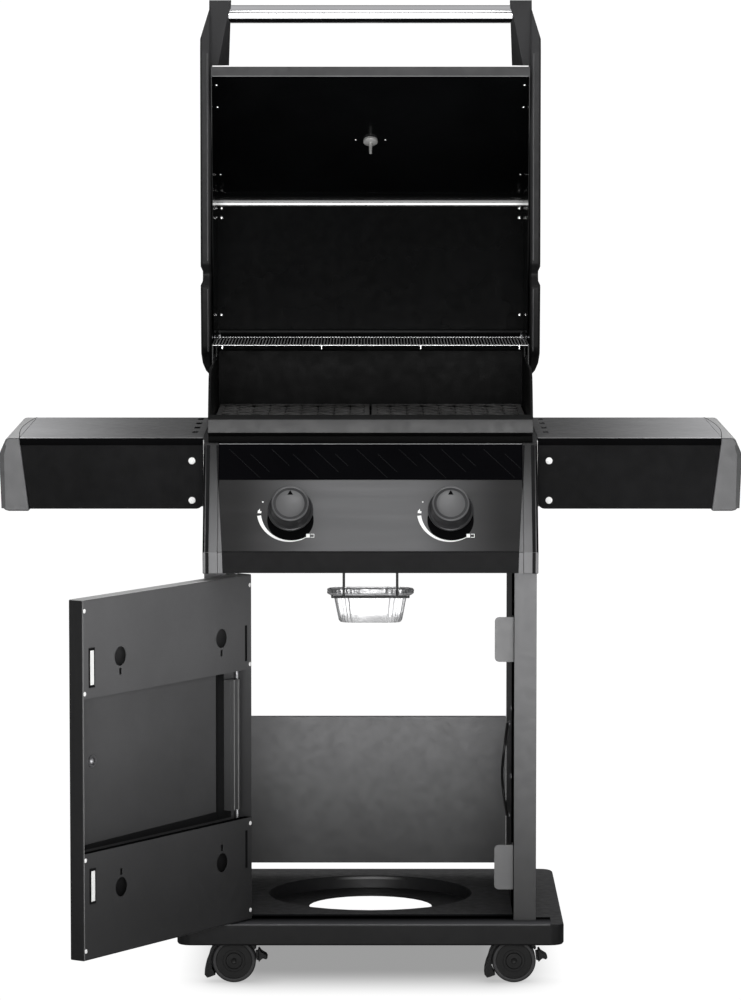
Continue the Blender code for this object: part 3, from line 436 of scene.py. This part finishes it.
# ---- cooking grids: wavy cast bars ---------------------------------------------------------
def wavy_grid(tag, side):
    """Cast grid: wavy bars, each swinging against the next, in a frame of plain bars."""
    x_in, x_out, y_front, y_back = 0.0018, 0.2462, -0.2277 + SHIFT, 0.1907 + SHIFT
    low, high, half, chamfer = 0.8770, 0.8868, 0.0043, 0.0022
    waves, count, steps, margin, lap = 7, 9, 84, 0.0048, 0.0040
    pitch = (x_out - x_in - 2 * margin) / count
    swing = pitch / 2 - half * 0.75
    section = ((-half, low), (-half, high - chamfer), (-half * 0.5, high), (half * 0.5, high),
               (half, high - chamfer), (half, low))
    bm = bmesh.new()
    for k in range(count):
        centre = x_in + margin + pitch * (k + 0.5)
        phase = 0 if k % 2 else math.pi
        loops = []
        for i in range(steps + 1):
            t = i / steps
            x = centre + swing * math.sin(2 * math.pi * waves * t + phase)
            y = y_front + lap + (y_back - y_front - 2 * lap) * t
            loops.append([bm.verts.new((side * (x + dx), y, z)) for dx, z in section])
        for here, there in zip(loops, loops[1:]):
            for i in range(len(section)):
                j = (i + 1) % len(section)
                bm.faces.new((here[i], here[j], there[j], there[i]))
        bm.faces.new(loops[0])
        bm.faces.new(loops[-1][::-1])
    long_bar, cross_bar, tuck = 0.0080, 0.0100, 0.0075
    for outline in (rectangle(x_in, x_in + long_bar, y_front, y_back),
                    rectangle(x_out - long_bar, x_out, y_front, y_back),
                    rectangle(x_in + tuck, x_out - tuck, y_front, y_front + cross_bar),
                    rectangle(x_in + tuck, x_out - tuck, y_back - cross_bar, y_back)):
        slab(bm, mirrored(side, outline), low + 0.0005, high - 0.0006, FLAT)
    piece = thing_of(tag + "_wavy_grid", bm, CAST_IRON, "cart")
    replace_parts(piece, tag + "_cooking_grid")


for tag, side in SIDES:
    wavy_grid(tag, side)

# ---- warming rack ---------------------------------------------------------------------------
RACK_Z, RACK_FRONT, RACK_BACK = 0.9985, -0.0584 + SHIFT, 0.1534 + SHIFT
RACK_BARS, RACK_WIDTH = 100, 0.495


def warming_rack():
    """Front and rear wire, cross bars, pegs under the front wire, and wire legs on the firebox walls."""
    ends = (-0.2522, 0.2522)
    runs = [[(x, y, RACK_Z - 0.0002) for x in ends] for y in (RACK_FRONT, RACK_BACK)]
    outer = tube("rack_frame", runs, 0.0010, WIRE, "cart", 4)
    places = [RACK_WIDTH * (k / RACK_BARS - 0.5) for k in range(RACK_BARS + 1)]
    bars = [[(x, RACK_FRONT + 0.001, RACK_Z), (x, RACK_BACK - 0.001, RACK_Z)] for x in places]
    tube("rack_bars", bars, 0.0010, RACK_WIRE, "cart", 2)
    peg_places = (-0.2360, -0.0780, 0.0800, 0.2370)
    pegs = [[(x, RACK_FRONT, RACK_Z - 0.0062), (x, RACK_FRONT, RACK_Z)] for x in peg_places]
    tube("rack_pegs", pegs, 0.0015, BRIGHT, "cart", 3)
    legs = []
    for x in (-0.2514, 0.2514):
        front, rear, foot = -0.0585 + SHIFT, 0.1314 + SHIFT, 0.9678
        legs += [[(x, front, foot), (x, front, RACK_Z)], [(x, rear, foot), (x, rear, RACK_Z)],
                 [(x, front, RACK_Z), (x, RACK_BACK, RACK_Z)]]
    tube("rack_legs", legs, 0.0011, DARK_WIRE, "cart", 3)
    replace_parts(outer, "warming_rack")


warming_rack()

# ---- control panel: bands, bezel trim, printed scale, knobs --------------------------------------
PANEL_HALF = 0.2360
BAND_LOW, BAND_HIGH = 0.0532, 0.1122
FOOT_LINE = -0.0678


def panel_strip(low, high):
    return rectangle(-PANEL_HALF, PANEL_HALF, low, high)


def panel_bands():
    """Glossy band with faint hatching at the top of the panel, a painted highlight along its top edge, and a
    satin band at its foot.
    """
    band = (panel_strip(BAND_LOW, BAND_HIGH), LIFT, 0.0008, FACE)
    plates("panel_black_band", [band], BLACK_BAND, "cart")
    # painted highlight along the top edge of the black band
    trim = (panel_strip(BAND_HIGH, BAND_HIGH + 0.0012), LIFT, 0.0010, FACE)
    plates("panel_top_painted_highlight", [trim], CATCH_PAINT, "cart")
    edge = (panel_strip(0.0005, 0.0022), LIFT, 0.0006, FACE @ Matrix.Translation((0, FOOT_LINE, 0)))
    foot = (panel_strip(-0.0325, 0.0006), LIFT, 0.0008, FOOT)
    plates("panel_low_band", [edge, foot], LOW_BAND, "cart")
    strokes = []
    for k in range(14):
        x = -0.2200 + k * 0.0330
        start, end = 0.0560 + 0.010 * (k % 3), 0.1040 - 0.008 * (k % 2)
        reach, pen = end - start, 0.0006
        stroke = ((x, end), (x + pen, end), (x + reach + pen, start), (x + reach, start))
        strokes.append((stroke, 0.0008, 0.0010, FACE))
    plates("band_hatching", strokes, HATCH, "cart")


def bezel_trim(tag, side):
    """Painted shade on the turned-back edge and along the face of an end bezel, and its inner fin."""
    strip = ((0.2498, 0.1100), (0.2553, 0.1100), (0.2553, -0.0680), (0.2503, -0.0680))
    wedge = ((0.2364, 0.1100), (0.2402, 0.1100), (0.2364, 0.0250))
    strip_foot = rectangle(0.2503, 0.2553, -0.0330, 0.0006)
    shades = [(mirrored(side, strip), 0.0018, 0.0032, FACE), (mirrored(side, wedge), 0.0018, 0.0026, FACE),
              (mirrored(side, strip_foot), 0.0012, 0.0027, FOOT)]
    # painted shade strips along the bezel's face
    plates(tag + "_bezel_shade", shades, LOW_BAND, "cart")
    # painted shade on the bezel's turned-back outer edge
    turned = mirrored(side, rectangle(0.2570, 0.2592, -0.0680, 0.1090))
    plates(tag + "_bezel_painted_edge_shade", [(turned, 0.0018, 0.0032, FACE)], BLACK_MARKS_AND_PAINTED_SHADE, "cart")
    fin = ((0.2362, 0.0450), (0.2362, -0.0675), (0.2298, -0.0675))
    heel = ((0.2362, 0.0006), (0.2362, -0.0325), (0.2290, -0.0325), (0.2298, 0.0006))
    fins = [(mirrored(side, fin), 0.0002, 0.0024, FACE), (mirrored(side, heel), 0.0002, 0.0020, FOOT)]
    plates(tag + "_bezel_fin", fins, BEZEL, "cart")


def scale_arc(radius, first, last, wide, thin, steps=28):
    """Quads of an arc that tapers from wide to thin between two angles."""
    pairs = []
    for k in range(steps + 1):
        share = k / steps
        angle, half = math.radians(first + (last - first) * share), (thin + (wide - thin) * (1 - share)) / 2
        pairs.append([(r * math.cos(angle), r * math.sin(angle)) for r in (radius + half, radius - half)])
    return [(here[0], there[0], there[1], here[1]) for here, there in zip(pairs, pairs[1:])]


def printed_scale(tag, hub):
    """Generic printed scale: a tapering arc, a dot, a spark, a full square and an open one."""
    low, high = 0.0004, 0.0007
    spark = ((-0.0030, -0.0030), (0.0026, -0.0032), (0.0030, 0.0004), (0.0010, 0.0000), (0.0002, 0.0042),
             (-0.0014, 0.0012), (-0.0022, 0.0020))
    full = rectangle(0.0245, 0.0300, -0.0430, -0.0370)
    open_sides = (rectangle(0.0312, 0.0370, -0.0378, -0.0370), rectangle(0.0312, 0.0370, -0.0430, -0.0422),
                  rectangle(0.0362, 0.0370, -0.0422, -0.0378))
    bm = bmesh.new()
    for quad in scale_arc(0.0490, 188, 302, 0.0061, 0.0007):
        slab(bm, quad, low, high, hub)
    revolve(bm, ((0, high), (0.0012, high), (0.0012, low), (0, low)),
            hub @ Matrix.Translation((-0.0430, 0.0160, 0)), 12)
    slab(bm, spark, low, high, hub @ Matrix.Translation((-0.0480, 0.0005, 0)))
    for outline in (full, *open_sides):
        slab(bm, outline, low, high, hub)
    thing_of(tag + "_printed_scale", bm, PRINT, "cart", smooth=False)


def knob_painted_shadow(tag, hub):
    """Painted shadow of a knob: a flat black patch on the panel below it, cut off short of the stem."""
    radius, drop = 0.0360, 0.0140
    arc = [math.radians(168 + 6 * k) for k in range(35)]
    bm = bmesh.new()
    slab(bm, [(radius * math.cos(a), radius * math.sin(a) - drop) for a in arc], LIFT, 0.0003, hub)
    thing_of(tag + "_knob_painted_shadow", bm, BLACK_MARKS_AND_PAINTED_SHADE, "cart")


def knob(tag, hub):
    """Turned grip with a flared skirt, a satin face in a raised rim, and a pointer."""
    body = tag + "_knob_turn"
    skirt = ((0.0046, 0.0071), (0.0351, 0.0071), (0.0351, 0.0086), (0.0344, 0.0098), (0.0328, 0.0104),
             (0.0322, 0.0122), (0.0310, 0.0150), (0.0305, 0.0200), (0.0300, 0.0300), (0.0294, 0.0342),
             (0.0288, 0.0354), (0.0278, 0.0361), (0.0246, 0.0357), (0.0046, 0.0350))
    face = ((0, 0.03705), (0.0080, 0.03680), (0.0170, 0.0362), (0.0240, 0.0354), (0.0246, 0.0352),
            (0.0246, 0.0340), (0, 0.0340))
    rim = ((0.0254, 0.0352), (0.0268, 0.0365), (0.0284, 0.0361), (0.0290, 0.0351), (0.0272, 0.0352))
    turned = (("grip", skirt, KNOB_SKIN), ("face", face, KNOB_FACE), ("rim", rim, KNOB_FACE))
    for part, profile, mat in turned:
        bm = bmesh.new()
        revolve(bm, profile, hub, 64)
        piece = thing_of("%s_knob_%s" % (tag, part), bm, mat, body)
        if part == "grip":
            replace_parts(piece, tag + "_knob")
    pointer = ((-0.0042, -0.0026), (0.0042, -0.0026), (0.0000, 0.0046))
    spot = hub @ Matrix.Translation((0, 0.0170, 0))
    plates(tag + "_knob_mark", [(pointer, 0.0350, 0.0368, spot)], BLACK_MARKS_AND_PAINTED_SHADE, body)


panel_bands()
for tag, side in SIDES:
    bezel_trim(tag, side)
for tag, side in SIDES:
    hub = FACE @ Matrix.Translation((side * KNOB_X, 0, 0))
    printed_scale(tag, hub)
    knob_painted_shadow(tag, hub)
    knob(tag, hub)
for tag, side in SIDES:
    spots = [((side * 0.2787, SHELF_FRONT, z), (0, -1, 0)) for z in (0.8287, 0.7668)]
    heads(tag + "_shelf_screws", spots, PRINT, tag + "_shelf", 0.0054, 0.0013)

# ---- lid: painted lip highlight, rivets, gauge screws -------------------------------------------
LIP, BEND, BACK = Vector((0, -0.4407, -0.0975)), Vector((0, -0.2252, 0.2102)), Vector((0, 0.0140, 0.1783))
GAUGE = Vector((0, -0.323, 0.0733))
RIVET_X = 0.2505


def into_lid(start, end):
    """Direction into the lid's room from the wall that runs between two points."""
    run = (end - start).normalized()
    return Vector((0, run.z, -run.y))


def lid_details():
    """Painted highlight along the lip, rivets along both walls and the screws and nut of the thermometer."""
    spots = []
    for side in (-1, 1):
        for start, end, shares in ((LIP, BEND, (0.131, 0.300, 0.832)), (BEND, BACK, (0.085, 0.152, 0.83))):
            inward = into_lid(start, end)
            for share in shares:
                point = start.lerp(end, share) + inward * LIFT + Vector((side * RIVET_X, 0, 0))
                spots.append((LID @ point, LID.to_3x3() @ inward))
    lip_face = Matrix.Translation((0, 0.0910 + SHIFT, 0)) @ UPRIGHT
    # painted highlight along the lower edge of the lip flange
    bead = (rectangle(-0.2550, 0.2550, 1.4237, 1.4245), LIFT, 0.0008, lip_face)
    plates("lip_edge_highlight", [bead], EDGE_PAINTED_HIGHLIGHT, "lid")
    heads("lid_rivets", spots, BRIGHT, "lid", 0.0034, 0.0016)
    inward = into_lid(LIP, BEND)
    at, toward = LID @ GAUGE, LID.to_3x3() @ inward
    spots = [(LID @ (GAUGE + inward * 0.0021 + Vector((x, 0, 0))), toward) for x in (-0.0245, 0.0245)]
    heads("gauge_screws", spots, BRIGHT, "lid", 0.0024, 0.0012)
    second_coat("thermometer", ZINC, lambda n, c: (c - at).dot(toward) > 0.0008)


lid_details()


# ---- door: rivets, magnets, hinge channel, bolt -------------------------------------------------
def on_door(name, outlines, low, high, mat):
    """A flat piece on the door; low and high are below zero on the side that faces the cabinet when shut."""
    plates(name, [(outline, low, high, DOOR_FACE) for outline in outlines], mat, "door")


def door_details():
    """Rivets, magnets, hinge channel and slots, bolt, and the painted highlights and painted shades of the
    door's inner side.
    """
    heights = (0.6330, 0.5080, 0.2560, 0.1180)
    spots = [(DOOR @ Vector((x, 0.0206, z)), DOOR.to_3x3() @ Vector((0, 1, 0))) for x in (0.4265, -0.0070)
             for z in heights]
    heads("door_rivets", spots, PRINT, "door", 0.0034, 0.0008)
    magnets = [rectangle(0.4040, 0.4130, *span) for span in ((0.520, 0.572), (0.192, 0.238))]
    seats = [rectangle(0.4010, 0.4160, *span) for span in ((0.516, 0.576), (0.188, 0.242))]
    slots = [rectangle(0.0020, 0.0062, *span) for span in ((0.514, 0.570), (0.187, 0.246))]
    span = (0.2800, 0.4860)
    channel = rectangle(0.0100, 0.0340, *span)
    lines = [rectangle(x, x + 0.0016, *span) for x in (0.0140, 0.0250)]
    shade = rectangle(0.0345, 0.0520, 0.2720, 0.4980)
    sill = ((0.0120, 0.2662), (0.4280, 0.2662), (0.4280, 0.2730), (0.0120, 0.2800))
    edge = rectangle(0.4296, 0.4303, 0.1045, 0.6485)
    on_door("door_magnets", magnets, -0.0213, -0.0206, PRINT)
    on_door("door_magnet_seats", seats, -0.0210, -0.0205, LOW_BAND)
    on_door("door_hinge_channel", [channel], -0.0130, 0.0034, DOOR_PAINT)
    on_door("door_hinge_shade", [shade], 0.0006, 0.0034, PAINTED_SHADE_BLACK)
    # painted highlights on the folds of the hinge channel
    on_door("door_channel_lines", lines, -0.0136, -0.0130, EDGE_PAINTED_HIGHLIGHT)
    on_door("door_sill_shade", [sill], 0.0026, 0.0036, PAINTED_SHADE_BLACK)
    # painted highlight on the door's free edge
    on_door("door_edge_highlight", [edge], -0.0208, -0.0203, EDGE_PAINTED_HIGHLIGHT)
    on_door("door_hinge_slots", slots, -0.0214, -0.0206, LOW_BAND)
    bm = bmesh.new()
    x, y, z = 0.3766, -0.0037, 0.399
    revolve(bm, dome(0.0058, 0.0035), DOOR @ Matrix.Translation((x, y, z)) @ facing((0, 1, 0)), 20)
    revolve(bm, ((0.0060, 0.0004), (0.0095, 0.0004), (0.0095, 0.0014), (0.0060, 0.0014)),
            DOOR @ Matrix.Translation((x, y - LIFT, z)) @ facing((0, 1, 0)), 20)
    thing_of("door_bolt", bm, STEEL, "door")


door_details()


# ---- grease tray: foil cup and its hanger -------------------------------------------------------
def foil_loop(x, y, z, flute, count=160):
    """A rounded rectangle of half sizes x and y whose edge is fluted."""
    points = []
    for k in range(count):
        angle = 2 * math.pi * k / count
        power = 0.42
        c, s = math.cos(angle), math.sin(angle)
        px = math.copysign(abs(c) ** power, c) * x
        py = math.copysign(abs(s) ** power, s) * y
        ripple = flute * (math.sin(angle * 40) + 0.5 * math.sin(angle * 17 + 1.3))
        grow = 1 + ripple / max(x, y)
        points.append((px * grow, py * grow + SHIFT, z + ripple * 0.4))
    return points


def foil_cup():
    """Fluted cup, from its rolled rim down to its floor; each level is half sizes, height and flute."""
    levels = ((0.0690, 0.0490, 0.5997, 0.0004), (0.0694, 0.0494, 0.5978, 0.0005),
              (0.0660, 0.0466, 0.5952, 0.0008), (0.0588, 0.0440, 0.5962, 0.0006),
              (0.0560, 0.0420, 0.5850, 0.0010), (0.0530, 0.0394, 0.5680, 0.0008),
              (0.0506, 0.0374, 0.5540, 0.0004), (0.0490, 0.0360, 0.5513, 0.0))
    bm = bmesh.new()
    rings = [[bm.verts.new(p) for p in foil_loop(*level)] for level in levels]
    for here, there in zip(rings, rings[1:]):
        for i in range(len(here)):
            j = (i + 1) % len(here)
            bm.faces.new((here[i], here[j], there[j], there[i]))
    bm.faces.new(rings[-1])
    cup = thing_of("foil_liner", bm, FOIL, "grease_tray")
    gauge = cup.modifiers.new("gauge", "SOLIDIFY")
    gauge.thickness = 0.0003
    gauge.offset = 1.0
    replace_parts(cup, "foil_cup")


def cup_hanger():
    """Four posts and the wire frame that the cup's rim hangs in."""
    reach_x, reach_y, frame_z = 0.0615, 0.0530, 0.5944
    feet = [(x, y + SHIFT) for x in (-0.0430, 0.0430) for y in (-reach_y, reach_y)]
    posts = [[(x, y, 0.5950), (x, y, 0.6846)] for x, y in feet]
    corners = ((-1, -1), (1, -1), (1, 1), (-1, 1), (-1, -1))
    ring = [(a * reach_x, b * reach_y + SHIFT, frame_z) for a, b in corners]
    hanger = tube("hanger_wire", [*posts, ring], 0.0018, DARK_WIRE, "grease_tray", 3)
    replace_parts(hanger, "cup_hanger")


foil_cup()
cup_hanger()

# ---- casters ------------------------------------------------------------------------------------
CASTER_X, TRAIL, WHEEL_R = 0.2210, 0.0055, 0.0345
HUB_R = 0.0284


def tyres(name, turn, body):
    """Two tyres with ribbed hubs on one axle."""
    half = ((0, 0.0063), (0.0300, 0.0063), (0.0330, 0.0063), (WHEEL_R, 0.0080), (WHEEL_R, 0.0130),
            (0.0326, 0.0155), (0.0300, 0.0160), (0.0286, 0.0156), (0.0276, 0.0146), (0.0180, 0.0146),
            (0.0176, 0.0150), (0.0168, 0.0150), (0.0164, 0.0146), (0.0135, 0.0146), (0.0120, 0.0159),
            (0.0050, 0.0160), (0.0040, 0.0152), (0, 0.0150))
    bm = bmesh.new()
    for sign in (-1, 1):
        revolve(bm, [(r, sign * h) for r, h in half], turn, 56)
    bmesh.ops.recalc_face_normals(bm, faces=bm.faces)
    for face in bm.faces:
        off = face.calc_center_median() - turn.translation
        if math.hypot(off.x, off.z) < HUB_R and abs(off.y) > 0.0100:
            face.material_index = 1
    revolve(bm, ((0, 0.0064), (0.0059, 0.0064), (0.0059, -0.0064), (0, -0.0064)), turn, 20)
    return thing_of(name, bm, (RUBBER, HUB), body)


def brake_link(tag, turn):
    """Web that carries the brake pedal in beside the tyres."""
    web = ((0.0392, 0.0150), (0.0392, -0.0015), (0.0353, 0.0000), (0.0340, 0.0115), (0.0338, 0.0140))
    bm = bmesh.new()
    slab(bm, web, -0.0048, 0.0048, turn)
    thing_of("front_%s_brake_link" % tag, bm, PLASTIC, "front_%s_brake" % tag)


for end, y in (("front", -0.200), ("rear", 0.215)):
    for tag, side in SIDES:
        corner = "%s_%s_" % (end, tag)
        turn = Matrix.Translation((side * CASTER_X + TRAIL, y + SHIFT, WHEEL_R)) @ UPRIGHT
        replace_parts(tyres(corner + "tyre", turn, corner + "roller"), corner + "wheel")
        if end == "front":
            brake_link(tag, turn)


# ---- side shelves: rolled edge, bowed seam of the end cap, bracket edge ---------------------------
def shelf_details(tag, side):
    """Rolled front edge, bow and seam at the end cap, shade on the cap, bright edge of the bracket."""
    shelf = tag + "_shelf"
    rolled = ((0.0000, 0.8635), (-0.0011, 0.8625), (-0.0015, 0.8590), (-0.0013, 0.8545), (-0.0002, 0.8530),
              (0.0000, 0.8530))
    bm = bmesh.new()
    slab(bm, [(SHELF_FRONT + y, z) for y, z in rolled], *sorted((side * 0.2614, side * 0.5468)), PROFILE)
    thing_of(tag + "_rolled_edge", bm, BLACK_MARKS_AND_PAINTED_SHADE, shelf)

    joint, bulge, depth, steps = 0.5473, 0.0095, 0.4080, 16
    shares = [k / steps for k in range(steps + 1)]
    bow = [(side * (joint + bulge * math.sin(math.pi * t)), -0.2350 + depth * t + SHIFT) for t in shares]
    crescent = (bow, SHELF_TOP, SHELF_TOP + 0.0003, FLAT)
    plates(tag + "_shelf_top_bow", [crescent], SHELF_PAINT, shelf)
    seam = [(x, y, SHELF_TOP + 0.0002) for x, y in bow]
    tube(tag + "_cap_seam", [seam], 0.0005, BLACK_MARKS_AND_PAINTED_SHADE, shelf, 1)
    edge = ((0.5720, 0.8560), (0.5792, 0.8380), (0.5762, 0.7545), (0.5700, 0.7545), (0.5718, 0.8380),
            (0.5680, 0.8520))
    shade = (mirrored(side, edge), 0.0, 0.0003, Matrix.Translation((0, -0.2366 + SHIFT, 0)) @ UPRIGHT)
    plates(tag + "_cap_shade", [shade], BLACK_PAINT, shelf)
    slit = rectangle(0.2600, 0.2609, 0.7590, 0.8610)
    line = (mirrored(side, slit), 0.0, 0.0004, Matrix.Translation((0, -0.2340 + SHIFT, 0)) @ UPRIGHT)
    plates(tag + "_bracket_edge", [line], PRINT, "cart")


def casting_ridge(tag, side):
    """Two raised lines along the face of a lid casting, above and below its notch."""
    x = side * 0.2640
    lines = (((x, -0.4650, -0.0882), (x, -0.1300, -0.0921)), ((x, -0.0840, -0.0936), (x, 0.0180, -0.0789)))
    ridges = [[LID @ Vector(point) for point in line] for line in lines]
    tube(tag + "_casting_ridge", ridges, 0.0009, GREY_PAINT, "lid", 2)


for tag, side in SIDES:
    shelf_details(tag, side)
    casting_ridge(tag, side)

# ---- base, inner wall, back of the firebox --------------------------------------------------------
RECESS_Y, RECESS_R = 0.038 + SHIFT, 0.165


def base_trim():
    """Painted shade in the valley behind the base's front rim, a painted highlight on the rim's rise, and a
    painted sheen at the back of the recess.
    """
    on_base = (BASE_TOP, BASE_TOP + 0.0003, FLAT)
    valley = rectangle(-0.2700, 0.2320, -0.1100, -0.0830)
    rise = rectangle(-0.2700, 0.2840, -0.1735, -0.1101)
    plates("base_tray_shade", [(valley, *on_base)], RIM_VALLEY, "cart")
    plates("base_rim_painted_highlight", [(rise, *on_base)], RIM_PAINTED_HIGHLIGHT, "cart")
    back_arc = [math.radians(68 + 44 * k / 24) for k in range(25)]
    outer, inner = [[(r * math.cos(a), RECESS_Y + r * math.sin(a)) for a in back_arc]
                    for r in (RECESS_R - 0.0003, RECESS_R - 0.0010)]
    plates("recess_glint", [(outer + inner[::-1], 0.0950, 0.0985, FLAT)], GLINT, "cart")


def inner_wall_shade():
    """Painted shade: a black patch on the front part of the right panel's inner face."""
    outline = rectangle(-0.2240 + SHIFT, -0.0900 + SHIFT, 0.1040, 0.7170)
    patch = (outline, LEG_IN - 0.0003, LEG_IN - 0.00005, PROFILE)
    plates("inner_wall_shade", [patch], BLACK_MARKS_AND_PAINTED_SHADE, "cart")


def base_front_painted_highlight():
    """Thin grey roll along the top of the base's front rim, a painted highlight on its rounded edge."""
    ends = [(x, -0.1745, 0.0998) for x in (-0.2820, 0.2820)]
    tube("base_front_painted_highlight", [ends], 0.0014, GREY_PAINT, "cart", 3)


def rear_heat_shield():
    """Angle sheet behind the firebox that closes the view between its rear wall and the open lid."""
    wall, back, foot, top, gauge = 0.1501 + SHIFT, 0.2500 + SHIFT, 0.8850, 0.9785, 0.0008
    angle = ((wall, foot), (back, foot), (back, top), (back - gauge, top), (back - gauge, foot + gauge),
             (wall, foot + gauge))
    plates("rear_heat_shield", [(angle, -0.2530, 0.2530, PROFILE)], BOX_BLACK, "cart")


def handle_tube():
    middle = LID @ Matrix.Translation((0, -0.528, -0.045)) @ Matrix.Rotation(math.pi / 2, 4, "Y")
    radius, inset, half, chamfer = 0.0147, 0.0140, 0.2358, 0.0008
    outline = ((0, -half), (inset, -half), (radius, chamfer - half), (radius, half - chamfer), (inset, half),
               (0, half))
    bm = bmesh.new()
    revolve(bm, outline, middle, 96)
    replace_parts(thing_of("handle_tube", bm, CHROME, "lid"), "lid_handle_bar")


def cylinder_hook():
    """Bent wire on the right panel's inner face that the gas cylinder is hooked to, and bolt heads."""
    low, rise, bow, sway, steps = 0.2300, 0.1500, 0.0080, 0.030, 24
    hook = []
    for k in range(steps + 1):
        t = k / steps
        x = LEG_IN - 0.0040 - bow * math.sin(math.pi * t)
        y = 0.020 + SHIFT + sway * math.sin(2 * math.pi * t)
        hook.append((x, y, low + rise * t))
    tube("cylinder_hook", [hook], 0.0022, DARK_WIRE, "cart", 3)
    places = ((0.020, low), (0.020, low + rise), (-0.090, 0.3100), (-0.090, 0.4200))
    spots = [((LEG_IN - LIFT, y + SHIFT, z), (-1, 0, 0)) for y, z in places]
    heads("inner_wall_bolts", spots, STEEL, "cart", 0.0050, 0.0030)


base_trim()
inner_wall_shade()
rear_heat_shield()
base_front_painted_highlight()
handle_tube()
cylinder_hook()


# ---- floor, light, camera -----------------------------------------------------------------------
def by_camera(tree, other, seen):
    """One shader for the light in the scene and another for what the camera sees."""
    rays = tree.nodes.new("ShaderNodeLightPath")
    mix = tree.nodes.new("ShaderNodeMixShader")
    tree.links.new(rays.outputs["Is Camera Ray"], mix.inputs["Fac"])
    tree.links.new(other, mix.inputs[1])
    tree.links.new(seen, mix.inputs[2])
    return mix.outputs["Shader"]


def floor_paint():
    """White floor with a painted soft shadow under the cart and a painted contact shade where something
    touches it.
    """
    mat = bpy.data.materials.new("floor_pale")
    mat.use_nodes = True
    tree = mat.node_tree
    nodes, link = tree.nodes, tree.links.new
    shader = nodes["Principled BSDF"]
    shader.inputs["Base Color"].default_value = (0.30, 0.30, 0.30, 1)
    shader.inputs["Roughness"].default_value = 0.9
    near = nodes.new("ShaderNodeAmbientOcclusion")
    near.samples = 16
    near.inputs["Distance"].default_value = 0.05
    contact = map_range(tree, near.outputs["AO"], (0, 1), (0.70, 1.0))
    split = separate(tree, nodes.new("ShaderNodeTexCoord").outputs["Object"])
    off_x = compute(tree, "ABSOLUTE", split["X"])
    off_y = compute(tree, "ABSOLUTE", compute(tree, "SUBTRACT", split["Y"], 0.09))
    across = map_range(tree, off_x, (0.175, 0.325), (1.0, 0.0), smooth=True)
    deep = map_range(tree, off_y, (0.10, 0.36), (1.0, 0.0), smooth=True)
    shade = compute(tree, "MULTIPLY", compute(tree, "MULTIPLY", across, deep), 0.70)
    pale = nodes.new("ShaderNodeEmission")
    pale.inputs["Color"].default_value = (1, 1, 1, 1)
    link(compute(tree, "MULTIPLY", compute(tree, "SUBTRACT", 1.03, shade), contact), pale.inputs["Strength"])
    surface = by_camera(tree, shader.outputs["BSDF"], pale.outputs["Emission"])
    link(surface, nodes["Material Output"].inputs["Surface"])
    return mat


def studio_floor():
    radius, count, depth = 9.0, 96, -0.0006
    angles = [2 * math.pi * k / count for k in range(count)]
    bm = bmesh.new()
    bm.faces.new([bm.verts.new((radius * math.cos(a), radius * math.sin(a), depth)) for a in angles])
    mesh = bpy.data.meshes.new("floor")
    bm.to_mesh(mesh)
    bm.free()
    mesh.materials.append(floor_paint())
    floor = bpy.data.objects.new("floor", mesh)
    bpy.context.scene.collection.objects.link(floor)


def studio_world():
    """Dim below the horizon and pale above it for the light, white for the camera."""
    world = bpy.data.worlds.new("studio")
    bpy.context.scene.world = world
    world.use_nodes = True
    tree = world.node_tree
    back = tree.nodes["Background"]
    level = tree.nodes.new("ShaderNodeValToRGB")
    stops = level.color_ramp.elements
    stops[0].position, stops[0].color = 0.50, (0.05, 0.05, 0.05, 1)
    stops[1].position, stops[1].color = 1.0, (0.55, 0.55, 0.56, 1)
    stops.new(0.60).color = (0.22, 0.22, 0.22, 1)
    height = separate(tree, tree.nodes.new("ShaderNodeTexCoord").outputs["Generated"])["Z"]
    tree.links.new(map_range(tree, height, (-1, 1)), level.inputs["Fac"])
    tree.links.new(level.outputs["Color"], back.inputs["Color"])
    back.inputs["Strength"].default_value = 0.9
    white = tree.nodes.new("ShaderNodeBackground")
    white.inputs["Color"].default_value = (1, 1, 1, 1)
    white.inputs["Strength"].default_value = 1.05
    surface = by_camera(tree, back.outputs["Background"], white.outputs["Background"])
    tree.links.new(surface, tree.nodes["World Output"].inputs["Surface"])


def lamp(name, spot, aim, size, power, height):
    """A rectangular lamp at a spot, turned toward an aim."""
    light = bpy.data.lights.new(name, "AREA")
    light.shape = "RECTANGLE"
    light.size = size
    light.size_y = height
    light.energy = power
    thing = bpy.data.objects.new(name, light)
    bpy.context.scene.collection.objects.link(thing)
    thing.location = spot
    thing.rotation_euler = (Vector(aim) - Vector(spot)).to_track_quat("-Z", "Y").to_euler()
    return thing


def lamps():
    overhead = lamp("overhead", (0, -0.5, 3.4), (0, 0, 0.6), 2.4, 60, 1.6)
    overhead.visible_glossy = False
    lamp("panel_key", (0, -2.1, 3.1), (0, -0.3, 0.8), 0.55, 6, 0.9)
    lamp("front_fill", (0.0, -5.2, 1.0), (0, 0, 0.7), 2.2, 90, 1.4)
    lamp("left_strip", (-3.2, -2.2, 1.2), (0, 0, 0.7), 0.8, 24, 2.2)
    lamp("right_strip", (3.2, -2.2, 1.2), (0, 0, 0.7), 0.8, 26, 2.2)
    bounce = lamp("floor_bounce", (0, -2.7, 0.02), (0, -2.7, 2.0), 3.4, 80, 3.6)
    bounce.visible_camera = False


def photo_camera():
    """A long lens eight metres in front of the grill, above its open lid's hinge and tipped down a little."""
    lens = bpy.data.cameras.new("camera")
    lens.lens = 180.95
    lens.sensor_width = 36.0
    lens.clip_end = 60
    camera = bpy.data.objects.new("camera", lens)
    bpy.context.scene.collection.objects.link(camera)
    camera.location = (0, -8.0505 + SHIFT, 1.4907)
    camera.rotation_euler = (math.pi / 2 - 0.0923, 0, 0)
    bpy.context.scene.camera = camera


studio_floor()
studio_world()
lamps()
bpy.context.scene.view_settings.view_transform = "Standard"
photo_camera()
